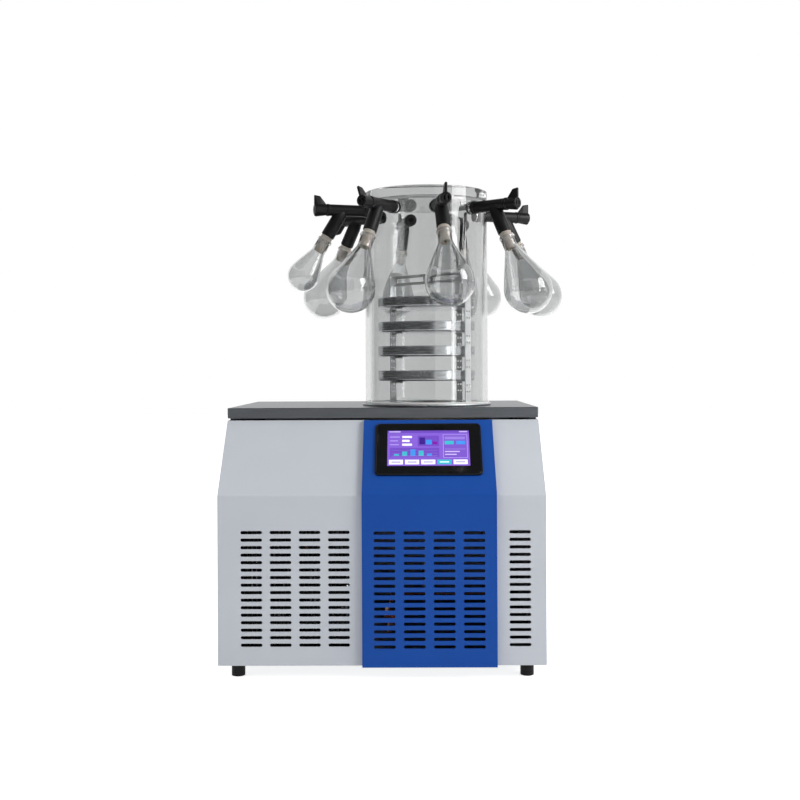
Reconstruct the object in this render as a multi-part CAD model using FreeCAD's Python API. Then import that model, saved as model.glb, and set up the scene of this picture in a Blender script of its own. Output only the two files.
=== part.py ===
import FreeCAD, Part
import math
import os

# Bench-top manifold freeze dryer, in millimetres: X to the right, Y to the back, Z up.
# Every piece is first placed about the cabinet: X and Y zero in the middle of its base,
# Z zero on the bench. At the end all pieces move together, so that the origin is the
# bottom centre of the whole machine's box.

# Cabinet
cabinetWidth = 600.0
cabinetDepth = 580.0
frontHeight = 310.0             # upright part of the front
slopeRise = 132.0               # sloping part of the front, up and back
slopeRun = 127.0
sheet = 1.5
bendRadius = 6.0
pressedEdge = 1.2               # radius on the outer edges of thick pieces
leftFaceWidth = 264.0           # white face left of the centre panel
centrePanelWidth = 246.0
centrePanelProud = 8.0
centrePanelDrop = 2.0           # how far it hangs below the covers
panelLap = 12.0                 # how far it covers the side covers' edges
coverLip = 13.0                 # inward fold along the covers' top
panLip = 15.0                   # upturned edge of the base pan
pieceGap = 0.3                  # clearance between pieces that only sit side by side

# Feet
footRadius = 12.5
footHeight = 25.0
footInset = 33.0
studRadius = 3.0
studLength = 10.0

# Worktop and the frame under it
worktopThickness = 20.0
worktopGap = 4.0
frameTube = 15.0
frameWall = 1.5

# Vent slots
ventLength = 39.5
ventHeight = 6.0
ventRows = 16
ventColumns = 4
ventMargin = 22.5               # from a group of slots to the centre panel's edge
ventLowestRow = 34.5            # above the covers' lower edge
coverVentPitch = (53.3, 13.7)   # across, up
centreVentPitch = (54.5, 13.8)
rearVentRows = 14

# Touch screen on the slope of the centre panel
bezelWidth = 200.0
bezelHeight = 125.0
bezelCorner = 9.0
bezelProud = 4.0
bezelUpSlope = 10.0             # its middle above the middle of the slope
bezelRim = 3.0
glassThickness = 1.8
housingWidth = 184.0
housingHeight = 108.0
housingDepth = 30.0

# Cold trap
drumBehindFront = 273.0         # drum axis behind the cabinet's front
trapInset = 25.0                # its inner wall inside the drum's outside
trapWall = 2.0
trapDepth = 160.0
trapFlangeMargin = 6.0          # beyond the drum's outside
trapFlangeThickness = 5.0
trapFlangeNotch = 6.0
trapFoamThickness = 27.0        # from the trap's outside
trapFoamBottom = 44.0
coilTubeRadius = 5.0
coilPitch = 12.0
coilTurns = 6
lineRadius = 5.0
lineBend = 22.0

# Drum
drumRadius = 125.0
drumWall = 10.0
drumTop = 925.0                 # top of the lid above the bench
lidThickness = 20.0
lidSpigot = 5.0
sealThickness = 3.0
sealMargin = 3.0                # seal beyond the drum's wall on both sides

# Tray rack and trays
trayClearance = 15.0            # from a tray's rim to the drum's inside
trayHeight = 20.5
trayWall = 1.0
trayPitch = 49.0
trayCount = 4
trayTop = 709.0                 # rim of the highest tray above the bench
trayTab = 17.0
trayTabTurn = -32.0             # the tabs' place, degrees from the front to the right
rackFacing = -44.0              # the open side of the rack, likewise
rackGap = 4.0                   # from a tray's rim to the posts
postWidth = 17.0
postThickness = 1.5
postTop = 760.0
postHoleRadius = 2.2
rackBarHeight = 21.0
rackRingWidth = 12.0
ledgeLength = 9.0

# Manifold valves
portHeight = 884.0
portRadius = 11.0
barrelRadius = 11.5
barrelFootRadius = 13.0         # where it meets the drum
barrelFoot = 6.0
barrelLength = 85.0             # from the drum's outside
barrelBore = 8.0
legReach = 51.0                 # from the drum's outside
legLength = 61.0
legRadius = 13.5
legTaper = 18.0                 # length over which the leg grows out of the barrel
legBore = 6.0
shaftClearance = 0.1
knobRadius = 10.8
knobLength = 25.0
leverThickness = 5.0
leverRise = 29.0
leverTip = 12.0

# Stoppers and flasks
stopperPlug = 14.0              # length inside the leg
stopperPlugRadius = 10.0
stopperBandRadius = 11.8
stopperBand = 6.5
stopperCollar = 2.5
stopperCollarRadius = 14.2
stopperLength = 27.0            # length inside the neck
stopperTipRadius = 9.8
stopperBore = 4.0
neckRadius = 13.5
neckLength = 27.0
neckBead = 2.0
glassWall = 2.0
flaskSizes = {"large": (46.5, 161.5), "small": (31.5, 115.0)}   # bulb radius, length

# One row for each valve: its place round the drum and the swing of its leg round the
# barrel, both in degrees to the right seen from the front, the flask on it, the turn of
# its lever from upright to the left, and the leg's lean outwards
valvePlan = [
    (8.5, 0.0, "large", 0.0, 31.0),
    (48.0, 2.0, "large", 0.0, 25.0),
    (112.0, 0.0, "large", 0.0, 28.0),
    (152.5, 0.0, "large", 0.0, 31.0),
    (196.0, 0.0, "large", 0.0, 30.0),
    (235.5, 0.0, "large", 180.0, 29.0),
    (288.0, -9.0, "small", 0.0, 30.0),
    (328.0, -4.0, "large", 17.0, 25.0),
]

# Refrigeration
compressorRadius = 75.0
compressorHeight = 175.0
compressorInset = 140.0         # from the cabinet's left side
compressorY = 90.0
compressorLift = 18.0           # rubber-mounted feet
condenserWidth = 244.0
condenserHeight = 250.0
condenserThickness = 32.0
condenserSetback = 22.0         # behind the front sheet
condenserFins = 30
condenserTubes = 5
fanRadius = 92.0
fanTipGap = 5.0
fanBlades = 5
fanDepth = 22.0
hubRadius = 24.0
motorRadius = 34.0
motorLength = 52.0
shaftRadius = 4.0
shroudDepth = 34.0
drierRadius = 13.0          # filter drier in the liquid line
drierLength = 90.0

# Rear connections
vacuumPipeRadius = 14.0
vacuumPipeBore = 12.0
vacuumFlangeRadius = 20.0
vacuumFlangeThickness = 3.0
vacuumPortReach = 26.0          # beyond the rear panel
drainRadius = 6.0
drainBore = 4.5
drainHeight = 100.0
valveBodyRadius = 11.0
valveBodyLength = 44.0
nozzleRadius = 5.0
nozzleLength = 20.0
handleLength = 58.0
handleWidth = 12.0
inletWidth = 28.0
inletHeight = 50.0
inletFlange = 4.0
rockerTravel = 9.0
controlBoxWidth = 66.0
controlBoxDepth = 96.0
controlBoxHeight = 190.0
screwRadius = 2.0
screwHeadRadius = 4.0
screwHeadHeight = 2.2

# Heights and places that follow
bottomZ = footHeight
bendZ = bottomZ + frontHeight
shoulderZ = bendZ + slopeRise
worktopZ = shoulderZ + worktopGap + worktopThickness
leftX = -cabinetWidth / 2
rightX = cabinetWidth / 2
frontY = -cabinetDepth / 2
backY = cabinetDepth / 2
shoulderY = frontY + slopeRun
panelLeft = leftX + leftFaceWidth
panelRight = panelLeft + centrePanelWidth
drumX = (panelLeft + panelRight) / 2
drumY = frontY + drumBehindFront
trapInnerRadius = drumRadius - trapInset
trapRadius = trapInnerRadius + trapWall
trapFlangeRadius = drumRadius + trapFlangeMargin
trapFoamRadius = trapRadius + trapFoamThickness
trayRadius = drumRadius - drumWall - trayClearance
rackRadius = trayRadius + rackGap
legStart = drumRadius + legReach
barrelEnd = drumRadius + barrelLength
knobEnd = barrelEnd + knobLength
flangeZ = worktopZ + trapFlangeThickness
drumZ = flangeZ + sealThickness
lidZ = drumTop - lidThickness
slopeAngle = math.atan2(slopeRun, slopeRise)
vacuumZ = worktopZ - worktopThickness - vacuumPipeRadius - 5.0
coilTop = vacuumZ - vacuumPipeRadius - 2 * coilTubeRadius
coilBottom = coilTop - coilPitch * coilTurns
coilRadius = trapRadius + coilTubeRadius + pieceGap
compressorX = leftX + compressorInset
condenserX = panelLeft - ventMargin - (ventColumns - 1) * coverVentPitch[0] / 2 - ventLength / 2
condenserFrontY = frontY + condenserSetback
shroudY = condenserFrontY + condenserThickness
fanZ = bottomZ + sheet + condenserHeight / 2
fanY = shroudY + shroudDepth - fanDepth
motorY = fanY + fanDepth + 6.0


def vec(x, y, z):
    return FreeCAD.Vector(x, y, z)


def block(x0, x1, y0, y1, z0, z1):
    return Part.makeBox(x1 - x0, y1 - y0, z1 - z0, vec(x0, y0, z0))


def rod(radius, start, end):
    run = end - start
    return Part.makeCylinder(radius, run.Length, start, run)


def pipe(outer, inner, start, end):
    return rod(outer, start, end).cut(rod(inner, start, end))


def fused(shapes):
    # one solid from pieces that share faces or overlap
    return shapes[0].multiFuse(shapes[1:]).removeSplitter()


def turnedAbout(shape, centre, axis, degrees):
    return shape.rotated(centre, axis, degrees)


def corner(before, point, after, radius):
    # the arc of the given radius that rounds one corner: its start, middle and end
    p, a, b = (FreeCAD.Vector(q[0], q[1], 0) for q in (point, before, after))
    toA = (a - p).normalize()
    toB = (b - p).normalize()
    half = toA.getAngle(toB) / 2
    centre = p + (toA + toB).normalize() * (radius / math.sin(half))
    middle = centre + (p - centre).normalize() * radius
    reach = radius / math.tan(half)
    start = p + toA * reach
    end = p + toB * reach
    return (start.x, start.y), (middle.x, middle.y, end.x, end.y)


def rounded(points, radii):
    # moves round a closed outline; radii gives one radius a corner, 0 for a sharp one
    moves = []
    count = len(points)
    for i in range(count):
        if radii[i] > 0:
            start, arc = corner(points[i - 1], points[i], points[(i + 1) % count], radii[i])
            moves += [start, arc]
        else:
            moves.append(points[i])
    return moves


def outlineFace(moves, toPoint):
    # a closed face: (u, v) draws a line to that point, (mu, mv, u, v) an arc through
    # the first point to the second
    edges = []
    at = toPoint(*moves[0][-2:])
    for move in moves[1:] + [moves[0][-2:]]:
        end = toPoint(*move[-2:])
        if len(move) == 4:
            edges.append(Part.Arc(at, toPoint(*move[:2]), end).toShape())
        elif at.distanceToPoint(end) > 1e-6:
            edges.append(Part.LineSegment(at, end).toShape())
        at = end
    return Part.Face(Part.Wire(edges))


def turned(moves):
    # outline in radius and height, turned about Z
    face = outlineFace(moves, lambda r, z: vec(r, 0, z))
    return face.revolve(vec(0, 0, 0), vec(0, 0, 1), 360)


def prismX(moves, x0, x1):
    # outline in Y and Z, pulled along X
    return outlineFace(moves, lambda y, z: vec(x0, y, z)).extrude(vec(x1 - x0, 0, 0))


def prismY(moves, y0, y1):
    # outline in X and Z, pulled along Y
    return outlineFace(moves, lambda x, z: vec(x, y0, z)).extrude(vec(0, y1 - y0, 0))


def prismZ(moves, z0, z1):
    # outline in X and Y, pulled along Z
    return outlineFace(moves, lambda x, y: vec(x, y, z0)).extrude(vec(0, 0, z1 - z0))


def rectangle(x0, x1, y0, y1, radius=0.0):
    return rounded([(x0, y0), (x1, y0), (x1, y1), (x0, y1)], [radius] * 4)


def bentPipe(points, radius, bend):
    # straight runs joined by tangent arcs, swept with a round section
    edges = []
    at = points[0]
    for i in range(1, len(points) - 1):
        toA = (points[i - 1] - points[i]).normalize()
        toB = (points[i + 1] - points[i]).normalize()
        half = toA.getAngle(toB) / 2
        reach = bend / math.tan(half)
        centre = points[i] + (toA + toB).normalize() * (bend / math.sin(half))
        middle = centre + (points[i] - centre).normalize() * bend
        start = points[i] + toA * reach
        edges.append(Part.LineSegment(at, start).toShape())
        at = points[i] + toB * reach
        edges.append(Part.Arc(start, middle, at).toShape())
    edges.append(Part.LineSegment(at, points[-1]).toShape())
    path = Part.Wire(edges)
    section = Part.Wire(Part.makeCircle(radius, points[0], points[1] - points[0]))
    return path.makePipeShell([section], True, False)


def slots(x0, z0, columns, rows, pitch, y0, y1):
    # a grid of upright-walled slots with round ends; x0 and z0 place the lowest left one
    tools = []
    for column in range(columns):
        for row in range(rows):
            x = x0 + column * pitch[0]
            z = z0 + row * pitch[1]
            moves = rectangle(x, x + ventLength, z, z + ventHeight, ventHeight / 2 - 0.01)
            tools.append(prismY(moves, y0, y1))
    return Part.makeCompound(tools)


def groupWidth(columns, pitch):
    return (columns - 1) * pitch[0] + ventLength


def atDrum(shape):
    shape.translate(vec(drumX, drumY, 0))
    return shape


def aroundDrum(shape, degrees):
    # a piece made along +X from the drum's axis, turned to an angle from the front
    shape = turnedAbout(shape, vec(0, 0, 0), vec(0, 0, 1), degrees - 90)
    return atDrum(shape)


# The front's line is offset along its normals: out is positive
def frontLine(out, lowZ, highZ):
    bend = (frontY - out, bendZ + out * math.tan(slopeAngle / 2))
    shoulder = shoulderY - out / math.cos(slopeAngle)
    top = (shoulder - (shoulderZ - highZ) * math.tan(slopeAngle), highZ)
    return [(frontY - out, lowZ), bend, top]


def cabinetOutline(inset, lowZ, highZ):
    # the side view of the covers, moved in by the inset at the front
    points = frontLine(-inset, lowZ, highZ) + [(backY, highZ), (backY, lowZ)]
    return rounded(points, [0, bendRadius - inset, 0, 0, 0])


def sideCover(x0, x1, wallX0, wallX1):
    # a side wall, its part of the front and a lip along the slope's top, folded from
    # one sheet; the inner block leaves the sheet standing on the wall's side
    outer = prismX(cabinetOutline(0, bottomZ, shoulderZ), x0, x1)
    inner = prismX(cabinetOutline(sheet, bottomZ - 1, shoulderZ - sheet), wallX0, wallX1)
    window = block(wallX0, wallX1, shoulderY + coverLip, backY + 1, shoulderZ - 2 * sheet,
                   shoulderZ + 1)
    back = block(wallX0, wallX1, backY - 2 * sheet, backY + 1, bottomZ - 1, shoulderZ + 1)
    return outer.cut([inner, window, back])


def leftCover():
    seam = panelLeft + panelLap
    cover = sideCover(leftX, seam, leftX + sheet, seam + 1)
    x0 = panelLeft - ventMargin - groupWidth(ventColumns, coverVentPitch)
    return cover.cut(slots(x0, bottomZ + ventLowestRow, ventColumns, ventRows, coverVentPitch,
                           frontY - 1, frontY + sheet + 1))


def rightCover():
    seam = panelRight - panelLap
    cover = sideCover(seam, rightX, seam - 1, rightX - sheet)
    return cover.cut(slots(panelRight + ventMargin, bottomZ + ventLowestRow, 1, ventRows,
                           coverVentPitch, frontY - 1, frontY + sheet + 1))


def frontStrip(outside, inside, lowZ, highZ, x0, x1):
    # the space between two lines parallel to the front
    ring = frontLine(outside, lowZ, highZ) + frontLine(inside, lowZ, highZ)[::-1]
    radii = [0, bendRadius + outside, 0, 0, bendRadius + inside, 0]
    return prismX(rounded(ring, radii), x0, x1)


def screenCutter(margin):
    return onSlope(block(-housingWidth / 2 - margin, housingWidth / 2 + margin,
                         -housingHeight / 2 - margin, housingHeight / 2 + margin,
                         -2 * centrePanelProud, bezelProud))


def centrePanel():
    # a shallow pan that stands proud of the covers, open at the back
    lowZ = bottomZ - centrePanelDrop
    outer = frontStrip(centrePanelProud, 0, lowZ, shoulderZ, panelLeft, panelRight)
    inner = frontStrip(centrePanelProud - sheet, -1, lowZ + sheet, shoulderZ - sheet,
                       panelLeft + sheet, panelRight - sheet)
    width = groupWidth(ventColumns, centreVentPitch)
    vents = slots(drumX - width / 2, bottomZ + ventLowestRow - centrePanelDrop, ventColumns,
                  ventRows, centreVentPitch, frontY - centrePanelProud - 1, frontY)
    return outer.cut([inner, vents, screenCutter(pieceGap)])


def basePan():
    inside = sheet
    x0, x1 = leftX + inside, rightX - inside
    y0, y1 = frontY + inside, backY - inside
    z1 = bottomZ + panLip
    pan = block(x0, x1, y0, y1, bottomZ, z1)
    pan = pan.cut(block(x0 + sheet, x1 - sheet, y0 + sheet, y1 - sheet, bottomZ + sheet, z1))
    holes = [rod(studRadius + pieceGap, vec(x, y, 0), vec(x, y, z1)) for x, y in footPlaces()]
    return pan.cut(holes)


def footPlaces():
    xs = (leftX + footInset, rightX - footInset)
    ys = (frontY + footInset, backY - footInset)
    return [(x, y) for x in xs for y in ys]


def feet():
    outline = rounded([(0, 0), (footRadius, 0), (footRadius, footHeight),
                       (studRadius, footHeight), (studRadius, footHeight + studLength),
                       (0, footHeight + studLength)],
                      [0, pressedEdge, pressedEdge, 0, 0, 0])
    foot = turned(outline)
    return Part.makeCompound([foot.translated(vec(x, y, 0)) for x, y in footPlaces()])


def worktop():
    # a folded stainless pan, upside down, with the hole for the cold trap
    z0 = worktopZ - worktopThickness
    outer = prismZ(rectangle(leftX, rightX, shoulderY, backY, sheet), z0, worktopZ)
    edges = [edge for edge in outer.Edges if edge.BoundBox.ZMin > worktopZ - 0.01]
    outer = outer.makeFillet(pressedEdge, edges)
    inner = block(leftX + sheet, rightX - sheet, shoulderY + sheet, backY - sheet,
                  z0 - 1, worktopZ - sheet)
    mouth = atDrum(Part.makeCylinder(trapRadius + 2 * pieceGap, worktopZ, vec(0, 0, 0)))
    return outer.cut([inner, mouth])


def frameTubeAlong(x0, x1, y0, y1, z0, z1):
    # one square tube, hollow along its longest side
    outer = block(x0, x1, y0, y1, z0, z1)
    spans = [(x0, x1), (y0, y1), (z0, z1)]
    longest = max(range(3), key=lambda i: spans[i][1] - spans[i][0])
    bore = []
    for i in range(3):
        inset = 0 if i == longest else frameWall
        bore += [spans[i][0] + inset, spans[i][1] - inset]
    return outer.cut(block(*bore))


def innerFrame():
    # four uprights from the base pan and a rectangle of rails under the worktop
    x0, x1 = leftX + sheet, rightX - sheet
    y0 = shoulderY + coverLip + 2.0
    y1 = backY - sheet
    zTop = worktopZ - sheet
    zRail = zTop - frameTube
    zLow = bottomZ + sheet
    t = frameTube
    tubes = []
    for x in (x0, x1 - t):
        tubes.append(frameTubeAlong(x, x + t, y0, y1, zRail, zTop))
        for y in (y0, y1 - t):
            legX = x + sheet if x < 0 else x - sheet
            legY = y if y < 0 else y - sheet
            tubes.append(frameTubeAlong(legX, legX + t, legY, legY + t, zLow, zRail))
    for y in (y0, y1 - t):
        tubes.append(frameTubeAlong(x0 + t, x1 - t, y, y + t, zRail, zTop))
    return fused(tubes)


def rearPanel():
    x0, x1 = leftX + sheet, rightX - sheet
    z0, z1 = bottomZ + sheet, worktopZ - worktopThickness - pieceGap
    panel = block(x0, x1, backY - sheet, backY, z0, z1)
    width = groupWidth(ventColumns, coverVentPitch)
    vents = slots(compressorX - width / 2, bottomZ + ventLowestRow, ventColumns, rearVentRows,
                  coverVentPitch, backY - 3 * sheet, backY + 1)
    vacuum = rod(vacuumPipeRadius + 1, vec(drumX, backY - 3 * sheet, vacuumZ),
                 vec(drumX, backY + 1, vacuumZ))
    drain = rod(drainRadius + 1, vec(drumX, backY - 3 * sheet, drainHeight),
                vec(drumX, backY + 1, drainHeight))
    x, z = inletPlace()
    inlet = block(x - inletWidth / 2, x + inletWidth / 2, backY - 3 * sheet, backY + 1,
                  z - inletHeight / 2, z + inletHeight / 2)
    return panel.cut([vents, vacuum, drain, inlet])


def onSlope(shape):
    # local X across, Y up the slope and Z out of it, from the middle of the centre
    # panel's slope
    out = centrePanelProud
    midY = (frontY + shoulderY) / 2 - out * math.cos(slopeAngle)
    midZ = (bendZ + shoulderZ) / 2 + out * math.sin(slopeAngle)
    shape = shape.rotated(vec(0, 0, 0), vec(1, 0, 0), 90 - math.degrees(slopeAngle))
    up = bezelUpSlope
    shape.translate(vec(drumX, midY + up * math.sin(slopeAngle),
                        midZ + up * math.cos(slopeAngle)))
    return shape


def screenBezel():
    # the screen's moulded front frame and the back case that goes through the panel
    w, h = bezelWidth / 2, bezelHeight / 2
    front = prismZ(rectangle(-w, w, -h, h, bezelCorner), 0, bezelProud)
    rim = [edge for edge in front.Edges if edge.BoundBox.ZMin > bezelProud - 0.01]
    front = front.makeFillet(pressedEdge, rim)
    glass = prismZ(rectangle(-w + bezelRim, w - bezelRim, -h + bezelRim, h - bezelRim,
                             bezelCorner - bezelRim), bezelProud - glassThickness, bezelProud + 1)
    back = block(-housingWidth / 2, housingWidth / 2, -housingHeight / 2, housingHeight / 2,
                 -housingDepth, 0)
    return onSlope(fused([front.cut(glass), back]))


def screenGlass():
    w, h = bezelWidth / 2 - bezelRim, bezelHeight / 2 - bezelRim
    gap = 0.1
    pane = prismZ(rectangle(-w + gap, w - gap, -h + gap, h - gap, bezelCorner - bezelRim - gap),
                  bezelProud - glassThickness, bezelProud - gap)
    return onSlope(pane)


def panelScrews():
    # pan heads down both sides of the rear panel
    outline = rounded([(0, 0), (screwHeadRadius, 0), (screwHeadRadius, screwHeadHeight),
                       (0, screwHeadHeight)], [0, 0, 1.0, 0])
    head = turned(outline).cut(block(-screwHeadRadius, screwHeadRadius, -0.5, 0.5,
                                     screwHeadHeight / 2, screwHeadHeight + 1))
    head = head.rotated(vec(0, 0, 0), vec(1, 0, 0), -90)
    margin = 14.0
    rows = 4
    screws = []
    for x in (leftX + margin, rightX - margin):
        for row in range(rows):
            z = bottomZ + 3 * margin + row * (shoulderZ - bottomZ - 5 * margin) / (rows - 1)
            screws.append(head.translated(vec(x, backY, z)))
    return Part.makeCompound(screws)


def inletPlace():
    return rightX - 55.0, bottomZ + 95.0


def powerInlet():
    # a flanged inlet with a recess for the lead's plug and a well for the switch
    x, z = inletPlace()
    y = backY
    w, h = inletWidth / 2, inletHeight / 2
    flange = prismY(rectangle(x - w - inletFlange, x + w + inletFlange, z - h - inletFlange,
                              z + h + inletFlange, 3.0), y, y + 3.0)
    gap = pieceGap
    body = block(x - w + gap, x + w - gap, y - 28.0, y + 1.0, z - h + gap, z + h - gap)
    socket = prismY(rounded([(x - 12, z - 22), (x + 12, z - 22), (x + 12, z - 12),
                             (x + 8, z - 6), (x - 8, z - 6), (x - 12, z - 12)], [1] * 6),
                    y - 16.0, y + 4.0)
    well = block(x - 10.5, x + 10.5, y - 9.0, y + 4.0, z + 2.5, z + 20.5)
    inlet = fused([flange, body]).cut([socket, well])
    pins = []
    for dx, dz in ((-7.0, -16.0), (7.0, -16.0), (0.0, -12.0)):
        pins.append(block(x + dx - 1, x + dx + 1, y - 17.0, y - 5.0, z + dz - 2, z + dz + 2))
    return fused([inlet] + pins)


def rockerPivot():
    x, z = inletPlace()
    return vec(x, backY - 1.0, z + 11.5)


def powerRocker():
    # a rocker on two short trunnions across its well, with its lower edge pressed in
    c = rockerPivot()
    profile = [(c.y - 5.5, c.z - 3.5), (c.y + 2.6, c.z - 7.6), (c.y + 4.4, c.z),
               (c.y + 2.6, c.z + 7.6), (c.y - 5.5, c.z + 3.5)]
    plate = prismX(rounded(profile, [1, 0.8, 3, 0.8, 1]), c.x - 9.8, c.x + 9.8)
    trunnion = rod(1.5, c - vec(10.4, 0, 0), c + vec(10.4, 0, 0))
    rocker = fused([plate, trunnion])
    return turnedAbout(rocker, c, vec(1, 0, 0), -rockerTravel)


def controlBox():
    # a folded box on the rear panel, open towards the middle of the machine
    x1 = rightX - sheet - frameTube - 2 * sheet - pieceGap
    x0 = x1 - controlBoxWidth
    y1 = backY - sheet
    y0 = y1 - controlBoxDepth
    z0 = bottomZ + 170.0
    z1 = z0 + controlBoxHeight
    shell = block(x0, x1, y0, y1, z0, z1)
    shell = shell.cut(block(x0 - 1, x1 - sheet, y0 + sheet, y1 - sheet, z0 + sheet, z1 - sheet))
    board = block(x1 - sheet - 12.0, x1 - sheet, y0 + 12.0, y1 - 12.0, z0 + 12.0, z1 - 12.0)
    return fused([shell, board])


def compressor():
    # the sealed can with its base plate, mounting feet and two pipe stubs
    z0 = bottomZ + sheet
    r, h = compressorRadius, compressorHeight
    low = z0 + compressorLift
    can = turned(rounded([(0, low), (r, low), (r, low + h), (0, low + h)], [0, 38, 52, 0]))
    can.translate(vec(compressorX, compressorY, 0))
    w, d = 88.0, 66.0
    x, y = compressorX, compressorY
    plate = prismZ(rectangle(x - w, x + w, y - d, y + d, 12.0), low, low + 3.0)
    pieces = [can, plate]
    for dx in (-w + 14, w - 14):
        for dy in (-d + 14, d - 14):
            pieces.append(rod(11.0, vec(x + dx, y + dy, z0), vec(x + dx, y + dy, low + 1)))
    pieces.append(rod(6.5, vec(x, y, stubZ()), suctionStub()))
    pieces.append(rod(6.5, vec(x, y, stubZ()), dischargeStub()))
    return fused(pieces)


def stubZ():
    return bottomZ + sheet + compressorLift + compressorHeight / 2


def suctionStub():
    return vec(compressorX + compressorRadius + 10.0, compressorY, stubZ())


def dischargeStub():
    return vec(compressorX, compressorY - compressorRadius - 10.0, stubZ())


def condenser():
    # end plates, cooling fins and the tubes that run through them
    x0 = condenserX - condenserWidth / 2
    x1 = condenserX + condenserWidth / 2
    y0, y1 = condenserFrontY, shroudY
    z0 = bottomZ + sheet
    z1 = z0 + condenserHeight
    pieces = []
    pitch = (condenserWidth - sheet) / (condenserFins - 1)
    for i in range(condenserFins):
        atEnd = i in (0, condenserFins - 1)
        low = z0 if atEnd else z0 + 8.0
        high = z1 if atEnd else z1 - 4.0
        x = x0 + i * pitch
        pieces.append(block(x, x + sheet, y0, y1, low, high))
    for i in range(condenserTubes):
        z = z0 + (i + 0.5) * condenserHeight / condenserTubes
        for y in (y0 + condenserThickness * 0.28, y0 + condenserThickness * 0.72):
            pieces.append(rod(4.5, vec(x0 - 6.0, y, z), vec(x1 + 6.0, y, z)))
    return fused(pieces)


def condenserTop():
    return vec(condenserX, (condenserFrontY + shroudY) / 2, bottomZ + sheet + condenserHeight)


def fanShroud():
    # a square duct behind the condenser that closes to a ring round the blades
    x0, x1 = condenserX - condenserWidth / 2, condenserX + condenserWidth / 2
    z0, z1 = bottomZ + sheet, bottomZ + sheet + condenserHeight
    y0, y1 = shroudY, shroudY + shroudDepth
    duct = block(x0, x1, y0, y1, z0, z1)
    inside = block(x0 + sheet, x1 - sheet, y0 - 1, y1 - sheet, z0 + sheet, z1 - sheet)
    ring = fanRadius + fanTipGap
    centre = vec(condenserX, 0, fanZ)
    mouth = rod(ring, centre + vec(0, y0 - 1, 0), centre + vec(0, y1 + 1, 0))
    lip = pipe(ring + sheet, ring, centre + vec(0, fanY - 2, 0), centre + vec(0, y1, 0))
    return fused([duct.cut([inside, mouth]), lip])


def fanBlade():
    # a hub and swept blades set across the air stream, on the motor's shaft
    length = fanRadius - hubRadius + 4.0
    chord = 46.0
    blade = block(hubRadius - 4.0, hubRadius - 4.0 + length, -0.9, 0.9, -chord / 2, chord / 2)
    blade = blade.rotated(vec(0, 0, 0), vec(1, 0, 0), 62)
    rim = Part.makeCylinder(fanRadius, fanDepth, vec(0, 0, 0), vec(0, 1, 0))
    blade = blade.translated(vec(0, fanDepth / 2, 0)).common(rim)
    hub = Part.makeCylinder(hubRadius, fanDepth, vec(0, 0, 0), vec(0, 1, 0))
    blades = [blade.rotated(vec(0, 0, 0), vec(0, 1, 0), i * 360.0 / fanBlades)
              for i in range(fanBlades)]
    bore = Part.makeCylinder(shaftRadius + 0.05, fanDepth + 2, vec(0, -1, 0), vec(0, 1, 0))
    fan = fused([hub] + blades).cut(bore)
    return fan.translated(vec(condenserX, fanY, fanZ))


def fanMotor():
    # the motor, its shaft and four arms to the back of the shroud
    centre = vec(condenserX, 0, fanZ)
    back = motorY + motorLength
    can = rod(motorRadius, centre + vec(0, motorY, 0), centre + vec(0, back, 0))
    shaft = rod(shaftRadius, centre + vec(0, fanY + 1, 0), centre + vec(0, motorY + 1, 0))
    shroudBack = shroudY + shroudDepth
    reach = fanRadius + fanTipGap + 3 * sheet
    pieces = [can, shaft]
    for i in range(4):
        arm = block(motorRadius - 2, reach + 8.0, motorY + 12.0, motorY + 15.0, -5, 5)
        foot = block(reach, reach + 8.0, shroudBack, motorY + 15.0, -5, 5)
        bracket = fused([arm, foot]).rotated(vec(0, 0, 0), vec(0, 1, 0), 45 + 90 * i)
        pieces.append(bracket.translated(vec(condenserX, 0, fanZ)))
    return fused(pieces)


def vacuumAxis(y):
    return vec(drumX, y, vacuumZ)


def drainRoute():
    low = flangeZ - trapDepth - trapWall
    return [vec(drumX, drumY, low + 1), vec(drumX, drumY, drainHeight),
            vec(drumX, backY + 4.0, drainHeight)]


def trapCup():
    # a deep-drawn stainless cup with a wide flange, and the drain pipe from its floor
    low = flangeZ - trapDepth
    r, t = trapInnerRadius, trapWall
    cup = turned(rounded([(0, low - t), (r + t, low - t), (r + t, worktopZ),
                          (trapFlangeRadius, worktopZ), (trapFlangeRadius, flangeZ),
                          (r, flangeZ), (r, low), (0, low)],
                         [0, 12 + t, 0, 0, pressedEdge, pressedEdge, 12, 0]))
    half = trapFlangeNotch / 2
    notch = block(-half, half, -trapFlangeRadius - 1, -trapFlangeRadius + half,
                  worktopZ - 1, flangeZ + 1)
    cup = atDrum(cup.cut(notch))
    port = rod(vacuumPipeRadius, vacuumAxis(drumY), vacuumAxis(drumY + trapRadius + 5))
    drain = bentPipe(drainRoute(), drainRadius, 2 * lineBend)
    bore = bentPipe([drainRoute()[0] + vec(0, 0, 2 * t)] + drainRoute()[1:], drainBore,
                    2 * lineBend)
    return fused([cup.cut(port), drain]).cut(bore)


def vacuumPort():
    # the pipe from the trap's wall through the rear panel, ending in a clamp flange
    start, end = vacuumAxis(drumY), vacuumAxis(backY + vacuumPortReach)
    wall = atDrum(Part.makeCylinder(trapInnerRadius, worktopZ, vec(0, 0, 0)))
    tube = rod(vacuumPipeRadius, start, end).cut(wall)
    face = vec(0, vacuumFlangeThickness, 0)
    taper = Part.makeCone(vacuumPipeRadius, vacuumFlangeRadius, vacuumFlangeThickness,
                          end - face * 2, vec(0, 1, 0))
    flange = rod(vacuumFlangeRadius, end - face, end)
    bore = rod(vacuumPipeBore, start, end + face)
    return fused([tube, taper, flange]).cut(bore)


def coilEnd(z):
    # the coil starts and ends behind the trap, heading along X
    return vec(drumX, drumY + coilRadius, z)


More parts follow.
